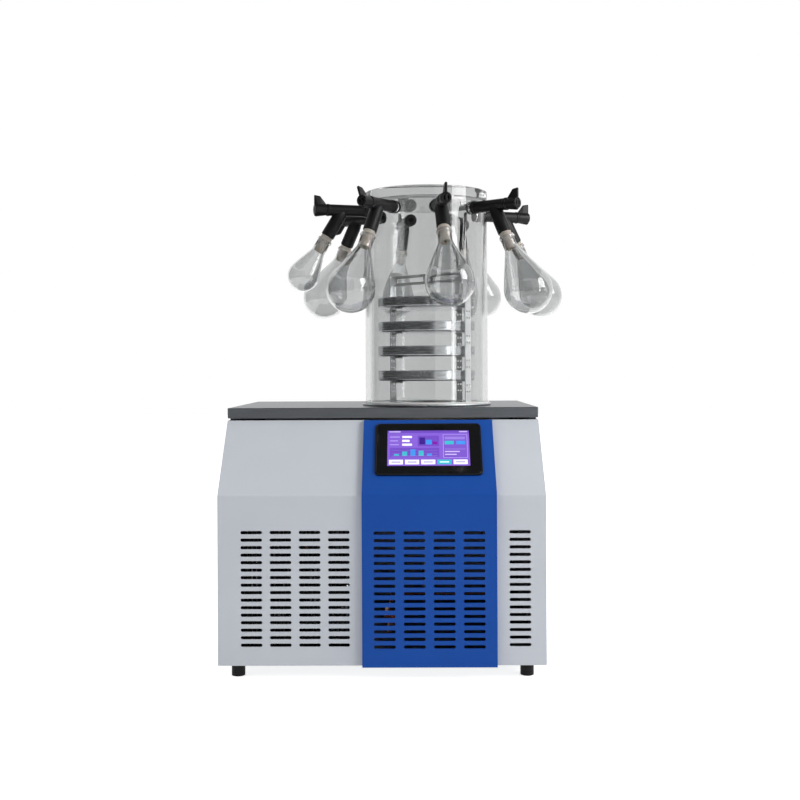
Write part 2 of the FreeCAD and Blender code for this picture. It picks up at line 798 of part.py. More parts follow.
def trapInsulation():
    # foam round and under the cup, hollow where the coil lies, narrower at its neck
    low = flangeZ - trapDepth - trapWall
    neckZ = worktopZ - worktopThickness
    top = worktopZ - sheet
    cavity = coilRadius + coilTubeRadius + pieceGap
    neck = trapRadius + 9.0
    lowCavity = coilBottom - 2 * coilTubeRadius
    highCavity = coilTop + 1.5 * coilTubeRadius
    r = trapRadius + pieceGap
    foam = turned([(0, low - trapFoamBottom), (trapFoamRadius, low - trapFoamBottom),
                   (trapFoamRadius, neckZ), (neck, neckZ), (neck, top), (r, top),
                   (r, highCavity), (cavity, highCavity), (cavity, lowCavity),
                   (r, lowCavity), (r, low), (0, low)])
    foam = atDrum(foam)
    reach = trapFoamRadius + 1
    holes = [rod(lineRadius + 1, coilEnd(coilTop), coilEnd(coilTop) - vec(reach, 0, 0)),
             rod(lineRadius + 1, coilEnd(coilBottom), coilEnd(coilBottom) + vec(reach, 0, 0)),
             rod(drainRadius + 0.2, vec(drumX, drumY, low + 1), vec(drumX, drumY, 0)),
             rod(vacuumPipeRadius + 0.2, vacuumAxis(drumY), vacuumAxis(backY))]
    return foam.cut(holes)


def evaporatorCoil():
    # copper tube wound round the trap in level-ended half turns, each rising half a pitch
    turns = []
    rise = coilPitch / 2
    for i in range(2 * coilTurns):
        side = 1 - 2 * (i % 2)
        start = vec(0, side * coilRadius, coilBottom + i * rise)
        middle = vec(0, 0, coilBottom + (i + 0.5) * rise)
        section = Part.Face(Part.Wire(Part.makeCircle(coilTubeRadius, start, vec(1, 0, 0))))
        axis = vec(0, side * rise / 2, coilRadius)
        turns.append(section.revolve(middle, axis, 180))
    return atDrum(fused(turns))


def refrigerantLines():
    # suction, discharge and liquid lines, the liquid line with its filter drier
    suctionEnd = suctionStub()
    turnX = suctionEnd.x + 2 * lineBend
    suction = bentPipe([coilEnd(coilTop), vec(turnX, coilEnd(0).y, coilTop),
                        vec(turnX, suctionEnd.y, suctionEnd.z), suctionEnd],
                       lineRadius, lineBend)
    top = condenserTop()
    outZ = top.z + 2.5 * lineBend
    start = dischargeStub()
    riseY = start.y - 2 * lineBend
    discharge = bentPipe([start, vec(start.x, riseY, start.z), vec(start.x, riseY, outZ),
                          vec(start.x, top.y, outZ), vec(start.x, top.y, top.z)],
                         lineRadius, lineBend)
    lowZ = bottomZ + 45.0
    exitX = condenserX + condenserWidth / 2
    runX = exitX + 2.2 * lineBend
    sideX = drumX + trapFoamRadius + lineBend
    backRun = coilEnd(0).y + 3.2 * lineBend
    liquid = bentPipe([vec(exitX, top.y, lowZ), vec(runX, top.y, lowZ), vec(runX, backRun, lowZ),
                       vec(sideX, backRun, lowZ), vec(sideX, backRun, coilBottom),
                       vec(sideX, coilEnd(0).y, coilBottom), coilEnd(coilBottom)],
                      lineRadius, lineBend)
    middle = vec(runX, drumY - drierLength, lowZ)
    can = rod(drierRadius, middle, middle + vec(0, drierLength, 0))
    return Part.makeCompound([suction, discharge, fused([liquid, can])])


def drainValve():
    # a small ball valve outside the rear panel, its hose nozzle pointing back
    y0 = backY + pieceGap
    z = drainHeight
    end = y0 + valveBodyLength
    body = rod(valveBodyRadius, vec(drumX, y0, z), vec(drumX, end, z))
    nozzle = rod(nozzleRadius, vec(drumX, end, z), vec(drumX, end + nozzleLength, z))
    stem = rod(3.0, vec(drumX, stemY(), z), vec(drumX, stemY(), z + valveBodyRadius + 8.0))
    shoulder = rod(6.0, vec(drumX, stemY(), z), vec(drumX, stemY(), z + valveBodyRadius + 3.0))
    inletHole = rod(drainRadius + 0.2, vec(drumX, y0 - 1, z), vec(drumX, backY + 5.0, z))
    nozzleHole = rod(nozzleRadius - 1.5, vec(drumX, end - 6.0, z),
                     vec(drumX, end + nozzleLength + 1, z))
    return fused([body, nozzle, shoulder, stem]).cut([inletHole, nozzleHole])


def stemY():
    return backY + valveBodyLength * 0.6


def drainLever():
    # a flat handle across the pipe when closed; it turns a quarter to lie along it
    z0 = drainHeight + valveBodyRadius + 3.0 + 0.2
    half = handleWidth / 2
    points = [(-half, -half), (handleLength, -half * 0.7), (handleLength, half * 0.7),
              (-half, half)]
    plate = prismZ(rounded(points, [half * 0.9, 3, 3, half * 0.9]), z0, z0 + 3.0)
    plate = plate.cut(rod(3.0 + shaftClearance, vec(0, 0, 0), vec(0, 0, worktopZ)))
    return plate.translated(vec(drumX, stemY(), 0))


def chamberSeal():
    r0, r1 = drumRadius - drumWall - sealMargin, drumRadius + sealMargin
    ring = turned(rounded([(r0, flangeZ), (r1, flangeZ), (r1, drumZ), (r0, drumZ)],
                          [0, 0, 1, 1]))
    return atDrum(ring)


def swung(shape, degrees):
    # turned about a valve's barrel, which is made along +X
    return turnedAbout(shape, vec(0, 0, portHeight), vec(1, 0, 0), degrees)


def chamberTube():
    # the clear tube, drilled for the valves and stepped for the lid's spigot
    outer = Part.makeCylinder(drumRadius, lidZ - drumZ, vec(0, 0, drumZ))
    inner = Part.makeCylinder(drumRadius - drumWall, lidZ - drumZ, vec(0, 0, drumZ))
    tube = atDrum(outer.cut(inner))
    ports = [aroundDrum(rod(portRadius, vec(drumRadius / 2, 0, portHeight),
                            vec(drumRadius * 1.2, 0, portHeight)), plan[0])
             for plan in valvePlan]
    return tube.cut(ports)


def chamberLid():
    # a clear disc with a shallow spigot inside the tube
    spigot = drumRadius - drumWall - 0.2
    lid = turned(rounded([(0, lidZ - lidSpigot), (spigot, lidZ - lidSpigot), (spigot, lidZ),
                          (drumRadius, lidZ), (drumRadius, drumTop), (0, drumTop)],
                         [0, 0, 0, 0, pressedEdge, 0]))
    return atDrum(lid)


def rackAngles():
    # the posts stand either side of the open face and opposite it
    return [rackFacing + 93.0, rackFacing + 180.0, rackFacing - 93.0]


def trayFloor(index):
    return trayTop - trayHeight - index * trayPitch


def rackPost():
    # a perforated strip across +X with a ledge under each tray
    half = postWidth / 2
    r = rackRadius
    post = block(r, r + postThickness, -half, half, flangeZ, postTop)
    tools = []
    for index in range(trayCount):
        for drop in (9.0, 22.0):
            for y in (-half * 0.45, half * 0.45):
                z = trayFloor(index) - drop
                tools.append(rod(postHoleRadius, vec(r - 1, y, z), vec(r + 3, y, z)))
    post = post.cut(tools)
    pieces = [post]
    for index in range(trayCount):
        z = trayFloor(index)
        pieces.append(block(r - ledgeLength, r + 0.5, -half * 0.6, half * 0.6, z - 1.5, z))
    return fused(pieces)


def rackFrame():
    # three posts on a base ring, joined at the top by a slotted bar over the trays
    post = rackPost()
    pieces = [aroundDrum(post.copy(), angle) for angle in rackAngles()]
    ring = turned([(rackRadius - rackRingWidth, flangeZ), (rackRadius + postThickness, flangeZ),
                   (rackRadius + postThickness, flangeZ + 2), (rackRadius - rackRingWidth, flangeZ + 2)])
    pieces.append(atDrum(ring))
    half = rackBarHeight / 2
    z = postTop - half
    first, _, last = rackAngles()
    for angle in (first, last):
        bar = prismY(rectangle(0, rackRadius + 1, z - half, z + half), -1.0, 1.0)
        pieces.append(aroundDrum(bar, angle))
    frame = fused(pieces)
    slotHalf = half - 6.0
    for angle in (first, last):
        tool = prismY(rectangle(8.0, rackRadius - 14.0, z - slotHalf, z + slotHalf, 2.0), -5, 5)
        frame = frame.cut(aroundDrum(tool, angle))
    return frame


def tray(index):
    # a round pan with a rolled edge and a finger tab at the rack's open face
    z0 = trayFloor(index)
    z1 = z0 + trayHeight
    r, t = trayRadius, trayWall
    pan = turned(rounded([(0, z0), (r - t, z0), (r - t, z1 - 2 * t), (r, z1 - 2 * t), (r, z1),
                          (r - 2 * t, z1), (r - 2 * t, z0 + t), (0, z0 + t)],
                         [0, 4, 0, 0.8, 0.8, 0, 3, 0]))
    half = trayTab / 2
    tab = block(r - 12.0, r + 3.0, -half, half, z0 - 3.0, z0)
    tab = tab.cut(block(r - 13.0, r + 4.0, -half - 1, half + 1, z0 - 4.0, z0 - 1.0))
    lip = block(r + 3.0 - t, r + 3.0, -half, half, z0 - 4.0, z0)
    handle = aroundDrum(fused([tab, lip]), trayTabTurn)
    return fused([atDrum(pan), handle])


def legPoint(plan, along):
    tilt = math.radians(plan[4])
    return vec(legStart + along * math.sin(tilt), 0, portHeight - along * math.cos(tilt))


def alongLeg(plan, shape, along):
    # a piece turned about Z with its length downwards, moved along the leg and swung
    # with it
    shape = shape.rotated(vec(0, 0, 0), vec(0, 1, 0), -plan[4])
    shape.translate(legPoint(plan, along))
    return swung(shape, plan[1])


def valveBody(plan):
    # a moulded rubber tee: barrel with a spigot through the drum's wall, and the leg
    axis = lambda x: vec(x, 0, portHeight)
    spigotRadius = portRadius - 0.2
    insideEnd = drumRadius - drumWall - 4.0
    foot = drumRadius + barrelFoot
    barrel = turned(rounded([(0, drumRadius - 4.0), (barrelFootRadius, drumRadius - 4.0),
                             (barrelFootRadius, foot), (barrelRadius, foot),
                             (barrelRadius, barrelEnd), (0, barrelEnd)],
                            [0, 0, pressedEdge, 0, 1.5, 0]))
    barrel = barrel.rotated(vec(0, 0, 0), vec(0, 1, 0), 90).translated(axis(0))
    wall = Part.makeCylinder(drumRadius + 0.1, drumTop, vec(0, 0, 0))
    collar = rod(barrelFootRadius - 0.5, axis(insideEnd), axis(drumRadius - drumWall + 2))
    hollow = Part.makeCylinder(drumRadius - drumWall - 0.1, drumTop, vec(0, 0, 0))
    spigot = rod(spigotRadius, axis(insideEnd), axis(drumRadius + 4))
    leg = turned([(0, 0), (barrelRadius - 0.1, 0), (legRadius, -legTaper),
                  (legRadius, -legLength), (0, -legLength)])
    body = fused([barrel.cut(wall), collar.common(hollow), spigot, alongLeg(plan, leg, 0)])
    bore = rod(barrelBore, axis(legStart - 22.0), axis(barrelEnd + 1))
    passage = rod(legBore, axis(0), axis(legStart - 22.0))
    low = legLength - stopperPlug - 0.5
    legPassage = rod(legBore, vec(0, 0, 0), vec(0, 0, -low))
    socket = rod(stopperPlugRadius, vec(0, 0, -low), vec(0, 0, -legLength - 1))
    hollows = [bore, passage, alongLeg(plan, legPassage, 0), alongLeg(plan, socket, 0)]
    return aroundDrum(body.cut(hollows), plan[0])


def valveKnob(plan):
    # the plug that turns in the barrel, with its end boss and lever
    axis = lambda x: vec(x, 0, portHeight)
    z = portHeight
    gap = pieceGap
    plug = rod(barrelBore - shaftClearance, axis(legStart - 21.0), axis(barrelEnd + 1))
    boss = rod(knobRadius, axis(barrelEnd + gap), axis(knobEnd))
    half = leverThickness / 2
    x0, x1 = barrelEnd + gap, knobEnd
    lever = prismY(rounded([(x0, z - knobRadius), (x1 - 3, z - knobRadius - 4),
                            (x1, z - knobRadius), (x1, z + leverRise),
                            (x1 - leverTip, z + leverRise - 2), (x0, z + knobRadius)],
                           [1, 1, 1, 1.5, 1.5, 1]), -half, half)
    recess = rod(5.5, axis(knobEnd - 8.0), axis(knobEnd + 1))
    port = rod(legBore - 1, vec(legStart, 0, z), vec(legStart, 0, z - 2 * barrelBore))
    bore = rod(legBore, axis(legStart - 22.0), axis(legStart + 2.0))
    knob = fused([plug, boss, lever]).cut([recess, port, bore])
    return aroundDrum(swung(knob, plan[3]), plan[0])


def stopper(plan):
    # a silicone plug: into the leg above, a band and collar, then down the flask's neck
    r, b = stopperPlugRadius - 0.1, stopperBore
    band, collar = stopperBand, stopperBand + stopperCollar
    low = collar + stopperLength
    plug = turned(rounded([(b, stopperPlug), (r, stopperPlug), (r, 0), (stopperBandRadius, 0),
                           (stopperBandRadius, -band), (stopperCollarRadius, -band),
                           (stopperCollarRadius, -collar),
                           (neckRadius - glassWall - 0.3, -collar),
                           (stopperTipRadius, -low), (b, -low)],
                          [0, 1, 0, 0, 0, 1, 0, 0, 1, 0]))
    return aroundDrum(alongLeg(plan, plug, legLength), plan[0])


def flaskSolid(bulb, length, inward):
    # the flask's outside, or its inside moved in by the glass: from the neck a straight
    # cone runs tangent onto the round bulb; heights are zero at the mouth and go down
    r = neckRadius - inward
    ball = bulb - inward
    middle = bulb - length
    neckEnd = (r, -neckLength)
    span = math.hypot(r, neckLength + middle)
    lean = math.asin(ball / span) - math.atan2(r, -neckLength - middle)
    tangent = (ball * math.cos(lean), middle + ball * math.sin(lean))
    half = (lean - math.pi / 2) / 2
    through = (ball * math.cos(half), middle + ball * math.sin(half))
    first, arc = corner((r, 0), neckEnd, tangent, 22.0 + inward)
    return turned([(0, inward), (r, inward), first, arc, tangent,
                   through + (0, middle - ball)])


def flask(plan):
    # a pear-shaped glass flask with a bead round its mouth
    bulb, length = flaskSizes[plan[2]]
    bead = turned([(neckRadius - glassWall, -2 * neckBead), (neckRadius, -2 * neckBead),
                   (neckRadius + neckBead, -neckBead, neckRadius, 0),
                   (neckRadius - glassWall, 0)])
    body = fused([flaskSolid(bulb, length, 0), bead]).cut(flaskSolid(bulb, length, glassWall))
    body.translate(vec(0, 0, -stopperBand - stopperCollar))
    return aroundDrum(alongLeg(plan, body, legLength), plan[0])


def build():
    pieces = {
        "base_pan": basePan(), "left_cover": leftCover(), "right_cover": rightCover(),
        "rear_panel": rearPanel(), "centre_panel": centrePanel(), "worktop": worktop(),
        "inner_frame": innerFrame(), "feet": feet(), "panel_screws": panelScrews(),
        "screen_bezel": screenBezel(), "screen_glass": screenGlass(),
        "control_box": controlBox(), "power_inlet": powerInlet(),
        "power_rocker": powerRocker(), "compressor": compressor(),
        "condenser": condenser(), "fan_shroud": fanShroud(), "fan_motor": fanMotor(),
        "fan_blade": fanBlade(), "trap_cup": trapCup(),
        "trap_insulation": trapInsulation(), "evaporator_coil": evaporatorCoil(),
        "refrigerant_lines": refrigerantLines(), "vacuum_port": vacuumPort(),
        "drain_valve": drainValve(), "drain_lever": drainLever(),
        "chamber_seal": chamberSeal(), "chamber_tube": chamberTube(),
        "chamber_lid": chamberLid(), "rack_frame": rackFrame(),
    }
    for index in range(trayCount):
        pieces["tray_%d" % (index + 1)] = tray(index)
    for number, plan in enumerate(valvePlan, 1):
        pieces["valve_body_%d" % number] = valveBody(plan)
        pieces["valve_knob_%d" % number] = valveKnob(plan)
        pieces["flask_%d" % number] = flask(plan)
    pieces["stoppers"] = Part.makeCompound([stopper(plan) for plan in valvePlan])
    return pieces


def main():
    pieces = build()
    box = Part.makeCompound(list(pieces.values())).BoundBox
    shift = vec(-(box.XMin + box.XMax) / 2, -(box.YMin + box.YMax) / 2, -box.ZMin)
    os.makedirs("parts", exist_ok=True)
    for name, shape in pieces.items():
        shape.translated(shift).exportStep("parts/%s.step" % name)
    print("pieces", len(pieces), "moved by", shift)


main()
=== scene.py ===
import math
import bmesh
import bpy
import numpy as np
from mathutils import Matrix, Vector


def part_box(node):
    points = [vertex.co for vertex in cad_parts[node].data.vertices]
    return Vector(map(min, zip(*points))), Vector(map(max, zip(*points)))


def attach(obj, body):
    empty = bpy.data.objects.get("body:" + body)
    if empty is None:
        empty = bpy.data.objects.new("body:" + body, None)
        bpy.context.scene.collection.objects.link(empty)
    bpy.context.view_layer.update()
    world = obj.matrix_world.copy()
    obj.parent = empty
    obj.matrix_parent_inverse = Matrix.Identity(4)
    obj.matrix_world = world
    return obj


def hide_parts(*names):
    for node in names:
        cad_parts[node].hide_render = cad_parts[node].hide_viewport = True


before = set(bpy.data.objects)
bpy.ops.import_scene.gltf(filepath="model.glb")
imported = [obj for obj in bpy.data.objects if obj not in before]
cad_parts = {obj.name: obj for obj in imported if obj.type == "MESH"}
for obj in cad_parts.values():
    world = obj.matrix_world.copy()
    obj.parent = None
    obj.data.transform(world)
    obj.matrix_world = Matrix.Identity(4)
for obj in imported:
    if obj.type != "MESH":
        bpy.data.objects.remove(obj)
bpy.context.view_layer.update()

mm = 0.001
joinReach = 2e-6  # corners closer than this, in metres, are one corner
rounding = {"spare": 0.6, "room": 2.2}  # shares of the radius and of the spare length
noiseSpan = {"From Min": 0.3, "From Max": 0.7}  # where nearly all of a noise lies


def placeOf(node):
    # the corners of a node's box in millimetres
    low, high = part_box(node)
    return np.array(low) / mm, np.array(high) / mm


tubeLow, tubeHigh = placeOf("chamber_tube")
drumX, drumY = (tubeLow[:2] + tubeHigh[:2]) / 2
drumRadius = (tubeHigh[0] - tubeLow[0]) / 2
print("places read")


def roundedLine(points, radii, steps=5):
    # each corner is replaced by the arc of its radius that touches both of its sides:
    # the arc's centre lies on the corner's bisector, and the arc is a turn between the
    # two spokes; a point a little way along each side keeps the shading flat there
    points = [np.array(p, float) for p in points]
    line = []
    for i, point in enumerate(points):
        radius = radii[i]
        if radius <= 0 or i in (0, len(points) - 1):
            line.append(point[None])
            continue
        a = points[i - 1] - point
        b = points[i + 1] - point
        reachA, reachB = np.linalg.norm(a), np.linalg.norm(b)
        a, b = a / reachA, b / reachB
        half = math.acos(np.clip(a @ b, -1, 1)) / 2
        reach = radius / math.tan(half)
        centre = point + (a + b) / np.linalg.norm(a + b) * radius / math.sin(half)
        first, last = point + a * reach - centre, point + b * reach - centre
        turn = math.pi - 2 * half
        t = np.linspace(0, 1, steps + 1)[:, None]
        arc = (np.sin((1 - t) * turn) * first + np.sin(t * turn) * last) / math.sin(turn)
        rows = [centre + arc]
        spare = radius * rounding["spare"]
        needed = reach + rounding["room"] * spare
        if reachA > needed:
            rows.insert(0, (point + a * (reach + spare))[None])
        if reachB > needed:
            rows.append((point + b * (reach + spare))[None])
        line += rows
    return np.concatenate(line)


def turnedGrid(profile, segments=96):
    # a point of the profile (radius, height) goes round the Z axis:
    # x = radius cos(angle), y = radius sin(angle), z = height
    angle = np.linspace(0, 2 * math.pi, segments, endpoint=False)
    radius, height = profile[:, 0, None], profile[:, 1, None]
    return np.stack([radius * np.cos(angle), radius * np.sin(angle),
                     height + 0 * angle], -1)


def tilted(points, degrees, axis, centre=(0, 0, 0)):
    # a turn of degrees about the X, Y or Z axis through centre
    c, s = math.cos(math.radians(degrees)), math.sin(math.radians(degrees))
    turn = {"x": [[1, 0, 0], [0, c, -s], [0, s, c]],
            "y": [[c, 0, s], [0, 1, 0], [-s, 0, c]],
            "z": [[c, -s, 0], [s, c, 0], [0, 0, 1]]}[axis]
    centre = np.array(centre, float)
    return (points - centre) @ np.array(turn).T + centre


def roundDrum(points, degrees):
    # from +X out of the drum's axis to an angle counted from the front to the right
    return tilted(points, degrees - 90, "z") + [drumX, drumY, 0]


def gridMesh(name, grids, closed=True):
    # each grid of points in millimetres (rows, columns, 3) becomes quads between
    # neighbours; a closed one joins its last column to its first
    points, faces, start = [], [], 0
    for grid in grids:
        rows, columns, _ = grid.shape
        i, j = np.meshgrid(np.arange(rows - 1), np.arange(columns - 1 + closed),
                           indexing="ij")
        k = (j + 1) % columns
        faces.append(np.stack([i * columns + j, i * columns + k, (i + 1) * columns + k,
                               (i + 1) * columns + j], -1).reshape(-1, 4) + start)
        points.append(grid.reshape(-1, 3))
        start += rows * columns
    mesh = bpy.data.meshes.new(name)
    mesh.from_pydata((np.concatenate(points) * mm).tolist(), [],
                     np.concatenate(faces).tolist())
    joinCorners(mesh, closed)
    return mesh


def joinCorners(mesh, outwards):
    # corners in one place become one, and outwards turns every face to the outside
    work = bmesh.new()
    work.from_mesh(mesh)
    bmesh.ops.remove_doubles(work, verts=work.verts, dist=joinReach)
    if outwards:
        bmesh.ops.recalc_face_normals(work, faces=work.faces)
    work.to_mesh(mesh)
    work.free()


def makePiece(name, mesh, material, body, replaces=(), sharp=None):
    # smooth all over, or flat over edges that turn by more than the sharp angle
    piece = bpy.data.objects.new(name, mesh)
    bpy.context.scene.collection.objects.link(piece)
    mesh.materials.clear()
    mesh.materials.append(material)
    mesh.polygons.foreach_set("use_smooth", np.ones(len(mesh.polygons), bool))
    if sharp is not None:
        mesh.set_sharp_from_angle(angle=math.radians(sharp))
    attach(piece, body)
    if replaces:
        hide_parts(*replaces)
    return piece


shading = {"foldedSharp": 2.0, "roundedSharp": 32.0, "weight": 60}


def cleanCopy(node, name, material, body, sharp):
    # the model's own surface with its corners joined; what bends less than sharp
    # degrees from face to face is shaded round, and the widest faces lead the shading
    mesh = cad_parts[node].data.copy()
    mesh.name = name
    joinCorners(mesh, False)
    piece = makePiece(name, mesh, material, body, (node,), sharp)
    even = piece.modifiers.new("flatSheets", "WEIGHTED_NORMAL")
    even.keep_sharp = True
    even.weight = shading["weight"]


def linear(colour):
    # sRGB hex to linear red, green, blue, 1
    values = np.array([int(colour[i:i + 2], 16) for i in (1, 3, 5)]) / 255
    low, high = values / 12.92, ((values + 0.055) / 1.055) ** 2.4
    return tuple(np.where(values <= 0.04045, low, high)) + (1.0,)


def addNode(tree, kind, links=None, **settings):
    # adds one node: links gives its inputs, by name or number, as values, nodes or
    # sockets
    made = tree.nodes.new("ShaderNode" + kind)
    for key, value in settings.items():
        setattr(made, key, value)
    for key, value in (links or {}).items():
        if isinstance(value, bpy.types.Node):
            value = value.outputs[0]
        if isinstance(value, bpy.types.NodeSocket):
            tree.links.new(value, made.inputs[key])
        else:
            made.inputs[key].default_value = value
    return made


def newMaterial(name):
    # an empty material, its node tree and its Object coordinates
    material = bpy.data.materials.new(name)
    material.use_nodes = True
    tree = material.node_tree
    tree.nodes.clear()
    return material, tree, addNode(tree, "TexCoord").outputs["Object"]


# sizes of the patterns and heights of the reliefs in millimetres, gloss as roughness
powder = {"peel": 1.6, "cloud": 90.0, "relief": 0.05, "smooth": 0.36, "rough": 0.48}
brushed = {"line": 0.7, "stretch": 0.012, "relief": 0.01, "under": 0.06, "over": 0.1}
drawn = {"relief": 0.02, "under": 0.06, "over": 0.08}
moulded = {"cloud": 12.0, "spread": 0.07, "sheen": 0.2}
clear = {"waveStrength": 0.3, "shadow": "#F0F0F0"}
silicone = {"relief": 0.02, "smooth": 0.38, "rough": 0.5, "ior": 1.41, "into": 4.0}
foam = {"cell": 2.5, "pit": 0.4, "rough": 0.85}


def powderCoat(name, colour, pale, sheen):
    # baked polyester powder: an even satin colour that clouds a little over a hand's
    # width, and a fine orange-peel ripple that breaks up its highlight
    material, tree, where = newMaterial(name)
    peel = addNode(tree, "TexNoise", {
        "Vector": where, "Scale": 1 / (powder["peel"] * mm), "Detail": 1.0})
    cloud = addNode(tree, "TexNoise", {
        "Vector": where, "Scale": 1 / (powder["cloud"] * mm), "Detail": 2.0})
    tone = addNode(tree, "Mix", {0: cloud, 6: linear(colour), 7: linear(pale)},
                   data_type="RGBA")
    gloss = addNode(tree, "MapRange", {**noiseSpan, "Value": peel,
                                       "To Min": powder["smooth"],
                                       "To Max": powder["rough"]})
    ripple = addNode(tree, "Bump", {
        "Height": peel, "Distance": powder["relief"] * mm, "Strength": 0.35})
    shader = addNode(tree, "BsdfPrincipled", {
        "Base Color": tone.outputs[2], "Roughness": gloss, "Specular IOR Level": sheen,
        "Normal": ripple})
    addNode(tree, "OutputMaterial", {"Surface": shader})
    return material


def brushedSteel(name, colour, pale, along, roughness):
    # grained with a belt: fine lines along one axis, or level rings round a turned
    # piece, a little lighter and rougher in turn, that smear its reflections
    material, tree, where = newMaterial(name)
    s = brushed["stretch"]
    scale = {"x": (s, 1, 1), "round": (s, s, 1)}[along]
    grained = addNode(tree, "Mapping", {"Vector": where, "Scale": scale})
    lines = addNode(tree, "TexNoise", {
        "Vector": grained, "Scale": 1 / (brushed["line"] * mm), "Detail": 2.0,
        "Roughness": 0.6})
    tone = addNode(tree, "Mix", {0: lines, 6: linear(colour), 7: linear(pale)},
                   data_type="RGBA")
    gloss = addNode(tree, "MapRange", {**noiseSpan, "Value": lines,
                                       "To Min": roughness - brushed["under"],
                                       "To Max": roughness + brushed["over"]})
    grain = addNode(tree, "Bump", {
        "Height": lines, "Distance": brushed["relief"] * mm, "Strength": 0.2})
    shader = addNode(tree, "BsdfPrincipled", {
        "Base Color": tone.outputs[2], "Metallic": 1.0, "Roughness": gloss,
        "Normal": grain})
    addNode(tree, "OutputMaterial", {"Surface": shader})
    return material


def plainMetal(name, colour, roughness, grain):
    # drawn, plated or cast metal: its gloss clouds over a few millimetres where it was
    # formed, with faint relief
    material, tree, where = newMaterial(name)
    spots = addNode(tree, "TexNoise", {"Vector": where, "Scale": 1 / (grain * mm),
                                       "Detail": 3.0})
    gloss = addNode(tree, "MapRange", {**noiseSpan, "Value": spots,
                                       "To Min": roughness - drawn["under"],
                                       "To Max": roughness + drawn["over"]})
    relief = addNode(tree, "Bump", {
        "Height": spots, "Distance": drawn["relief"] * mm, "Strength": 0.25})
    shader = addNode(tree, "BsdfPrincipled", {
        "Base Color": linear(colour), "Metallic": 1.0, "Roughness": gloss,
        "Normal": relief})
    addNode(tree, "OutputMaterial", {"Surface": shader})
    return material


def mouldedBlack(name, colour, pale, roughness, grain, height):
    # rubber or plastic from a textured mould: near black, with a dull highlight that its
    # grain breaks up; grain and height in millimetres
    material, tree, where = newMaterial(name)
    fine = addNode(tree, "TexNoise", {"Vector": where, "Scale": 1 / (grain * mm),
                                      "Detail": 2.0})
    cloud = addNode(tree, "TexNoise", {
        "Vector": where, "Scale": 1 / (moulded["cloud"] * mm), "Detail": 2.0})
    tone = addNode(tree, "Mix", {0: cloud, 6: linear(colour), 7: linear(pale)},
                   data_type="RGBA")
    gloss = addNode(tree, "MapRange", {**noiseSpan, "Value": fine,
                                       "To Min": roughness - moulded["spread"],
                                       "To Max": roughness + moulded["spread"]})
    relief = addNode(tree, "Bump", {
        "Height": fine, "Distance": height * mm, "Strength": 0.5})
    shader = addNode(tree, "BsdfPrincipled", {
        "Base Color": tone.outputs[2], "Roughness": gloss,
        "Specular IOR Level": moulded["sheen"], "Normal": relief})
    addNode(tree, "OutputMaterial", {"Surface": shader})
    return material


def clearMaterial(name, colour, ior, waves, height):
    # clear and polished, greyed a little at each face, with slow waves in its surface
    # that bend what shows through it; lamps shine through it, so it throws no black
    # shadow
    material, tree, where = newMaterial(name)
    wave = addNode(tree, "TexNoise", {"Vector": where, "Scale": 1 / (waves * mm),
                                      "Detail": 1.0})
    relief = addNode(tree, "Bump", {"Height": wave, "Distance": height * mm,
                                    "Strength": clear["waveStrength"]})
    shader = addNode(tree, "BsdfPrincipled", {
        "Base Color": linear(colour), "IOR": ior, "Roughness": 0.0,
        "Transmission Weight": 1.0, "Normal": relief})
    lampPath = addNode(tree, "LightPath")
    through = addNode(tree, "BsdfTransparent", {"Color": linear(clear["shadow"])})
    both = addNode(tree, "MixShader", {0: lampPath.outputs["Is Shadow Ray"], 1: shader,
                                       2: through})
    addNode(tree, "OutputMaterial", {"Surface": both})
    return material


def siliconeRubber(name, colour, pale, grain):
    # cured silicone: light goes a little way in, so that edges glow, under a waxy
    # highlight
    material, tree, where = newMaterial(name)
    fine = addNode(tree, "TexNoise", {"Vector": where, "Scale": 1 / (grain * mm),
                                      "Detail": 2.0})
    tone = addNode(tree, "Mix", {0: fine, 6: linear(colour), 7: linear(pale)},
                   data_type="RGBA")
    gloss = addNode(tree, "MapRange", {**noiseSpan, "Value": fine,
                                       "To Min": silicone["smooth"],
                                       "To Max": silicone["rough"]})
    relief = addNode(tree, "Bump", {
        "Height": fine, "Distance": silicone["relief"] * mm, "Strength": 0.3})
    shader = addNode(tree, "BsdfPrincipled", {
        "Base Color": tone.outputs[2], "Roughness": gloss, "IOR": silicone["ior"],
        "Normal": relief, "Subsurface Weight": 0.3,
        "Subsurface Scale": silicone["into"] * mm})
    addNode(tree, "OutputMaterial", {"Surface": shader})
    return material


def foamRubber(name, colour, pale):
    # closed-cell foam with its skin on: dull and pitted
    material, tree, where = newMaterial(name)
    cells = addNode(tree, "TexNoise", {
        "Vector": where, "Scale": 1 / (foam["cell"] * mm), "Detail": 4.0})
    tone = addNode(tree, "Mix", {0: cells, 6: linear(colour), 7: linear(pale)},
                   data_type="RGBA")
    pits = addNode(tree, "Bump", {
        "Height": cells, "Distance": foam["pit"] * mm, "Strength": 0.5})
    shader = addNode(tree, "BsdfPrincipled", {
        "Base Color": tone.outputs[2], "Roughness": foam["rough"], "Normal": pits})
    addNode(tree, "OutputMaterial", {"Surface": shader})
    return material


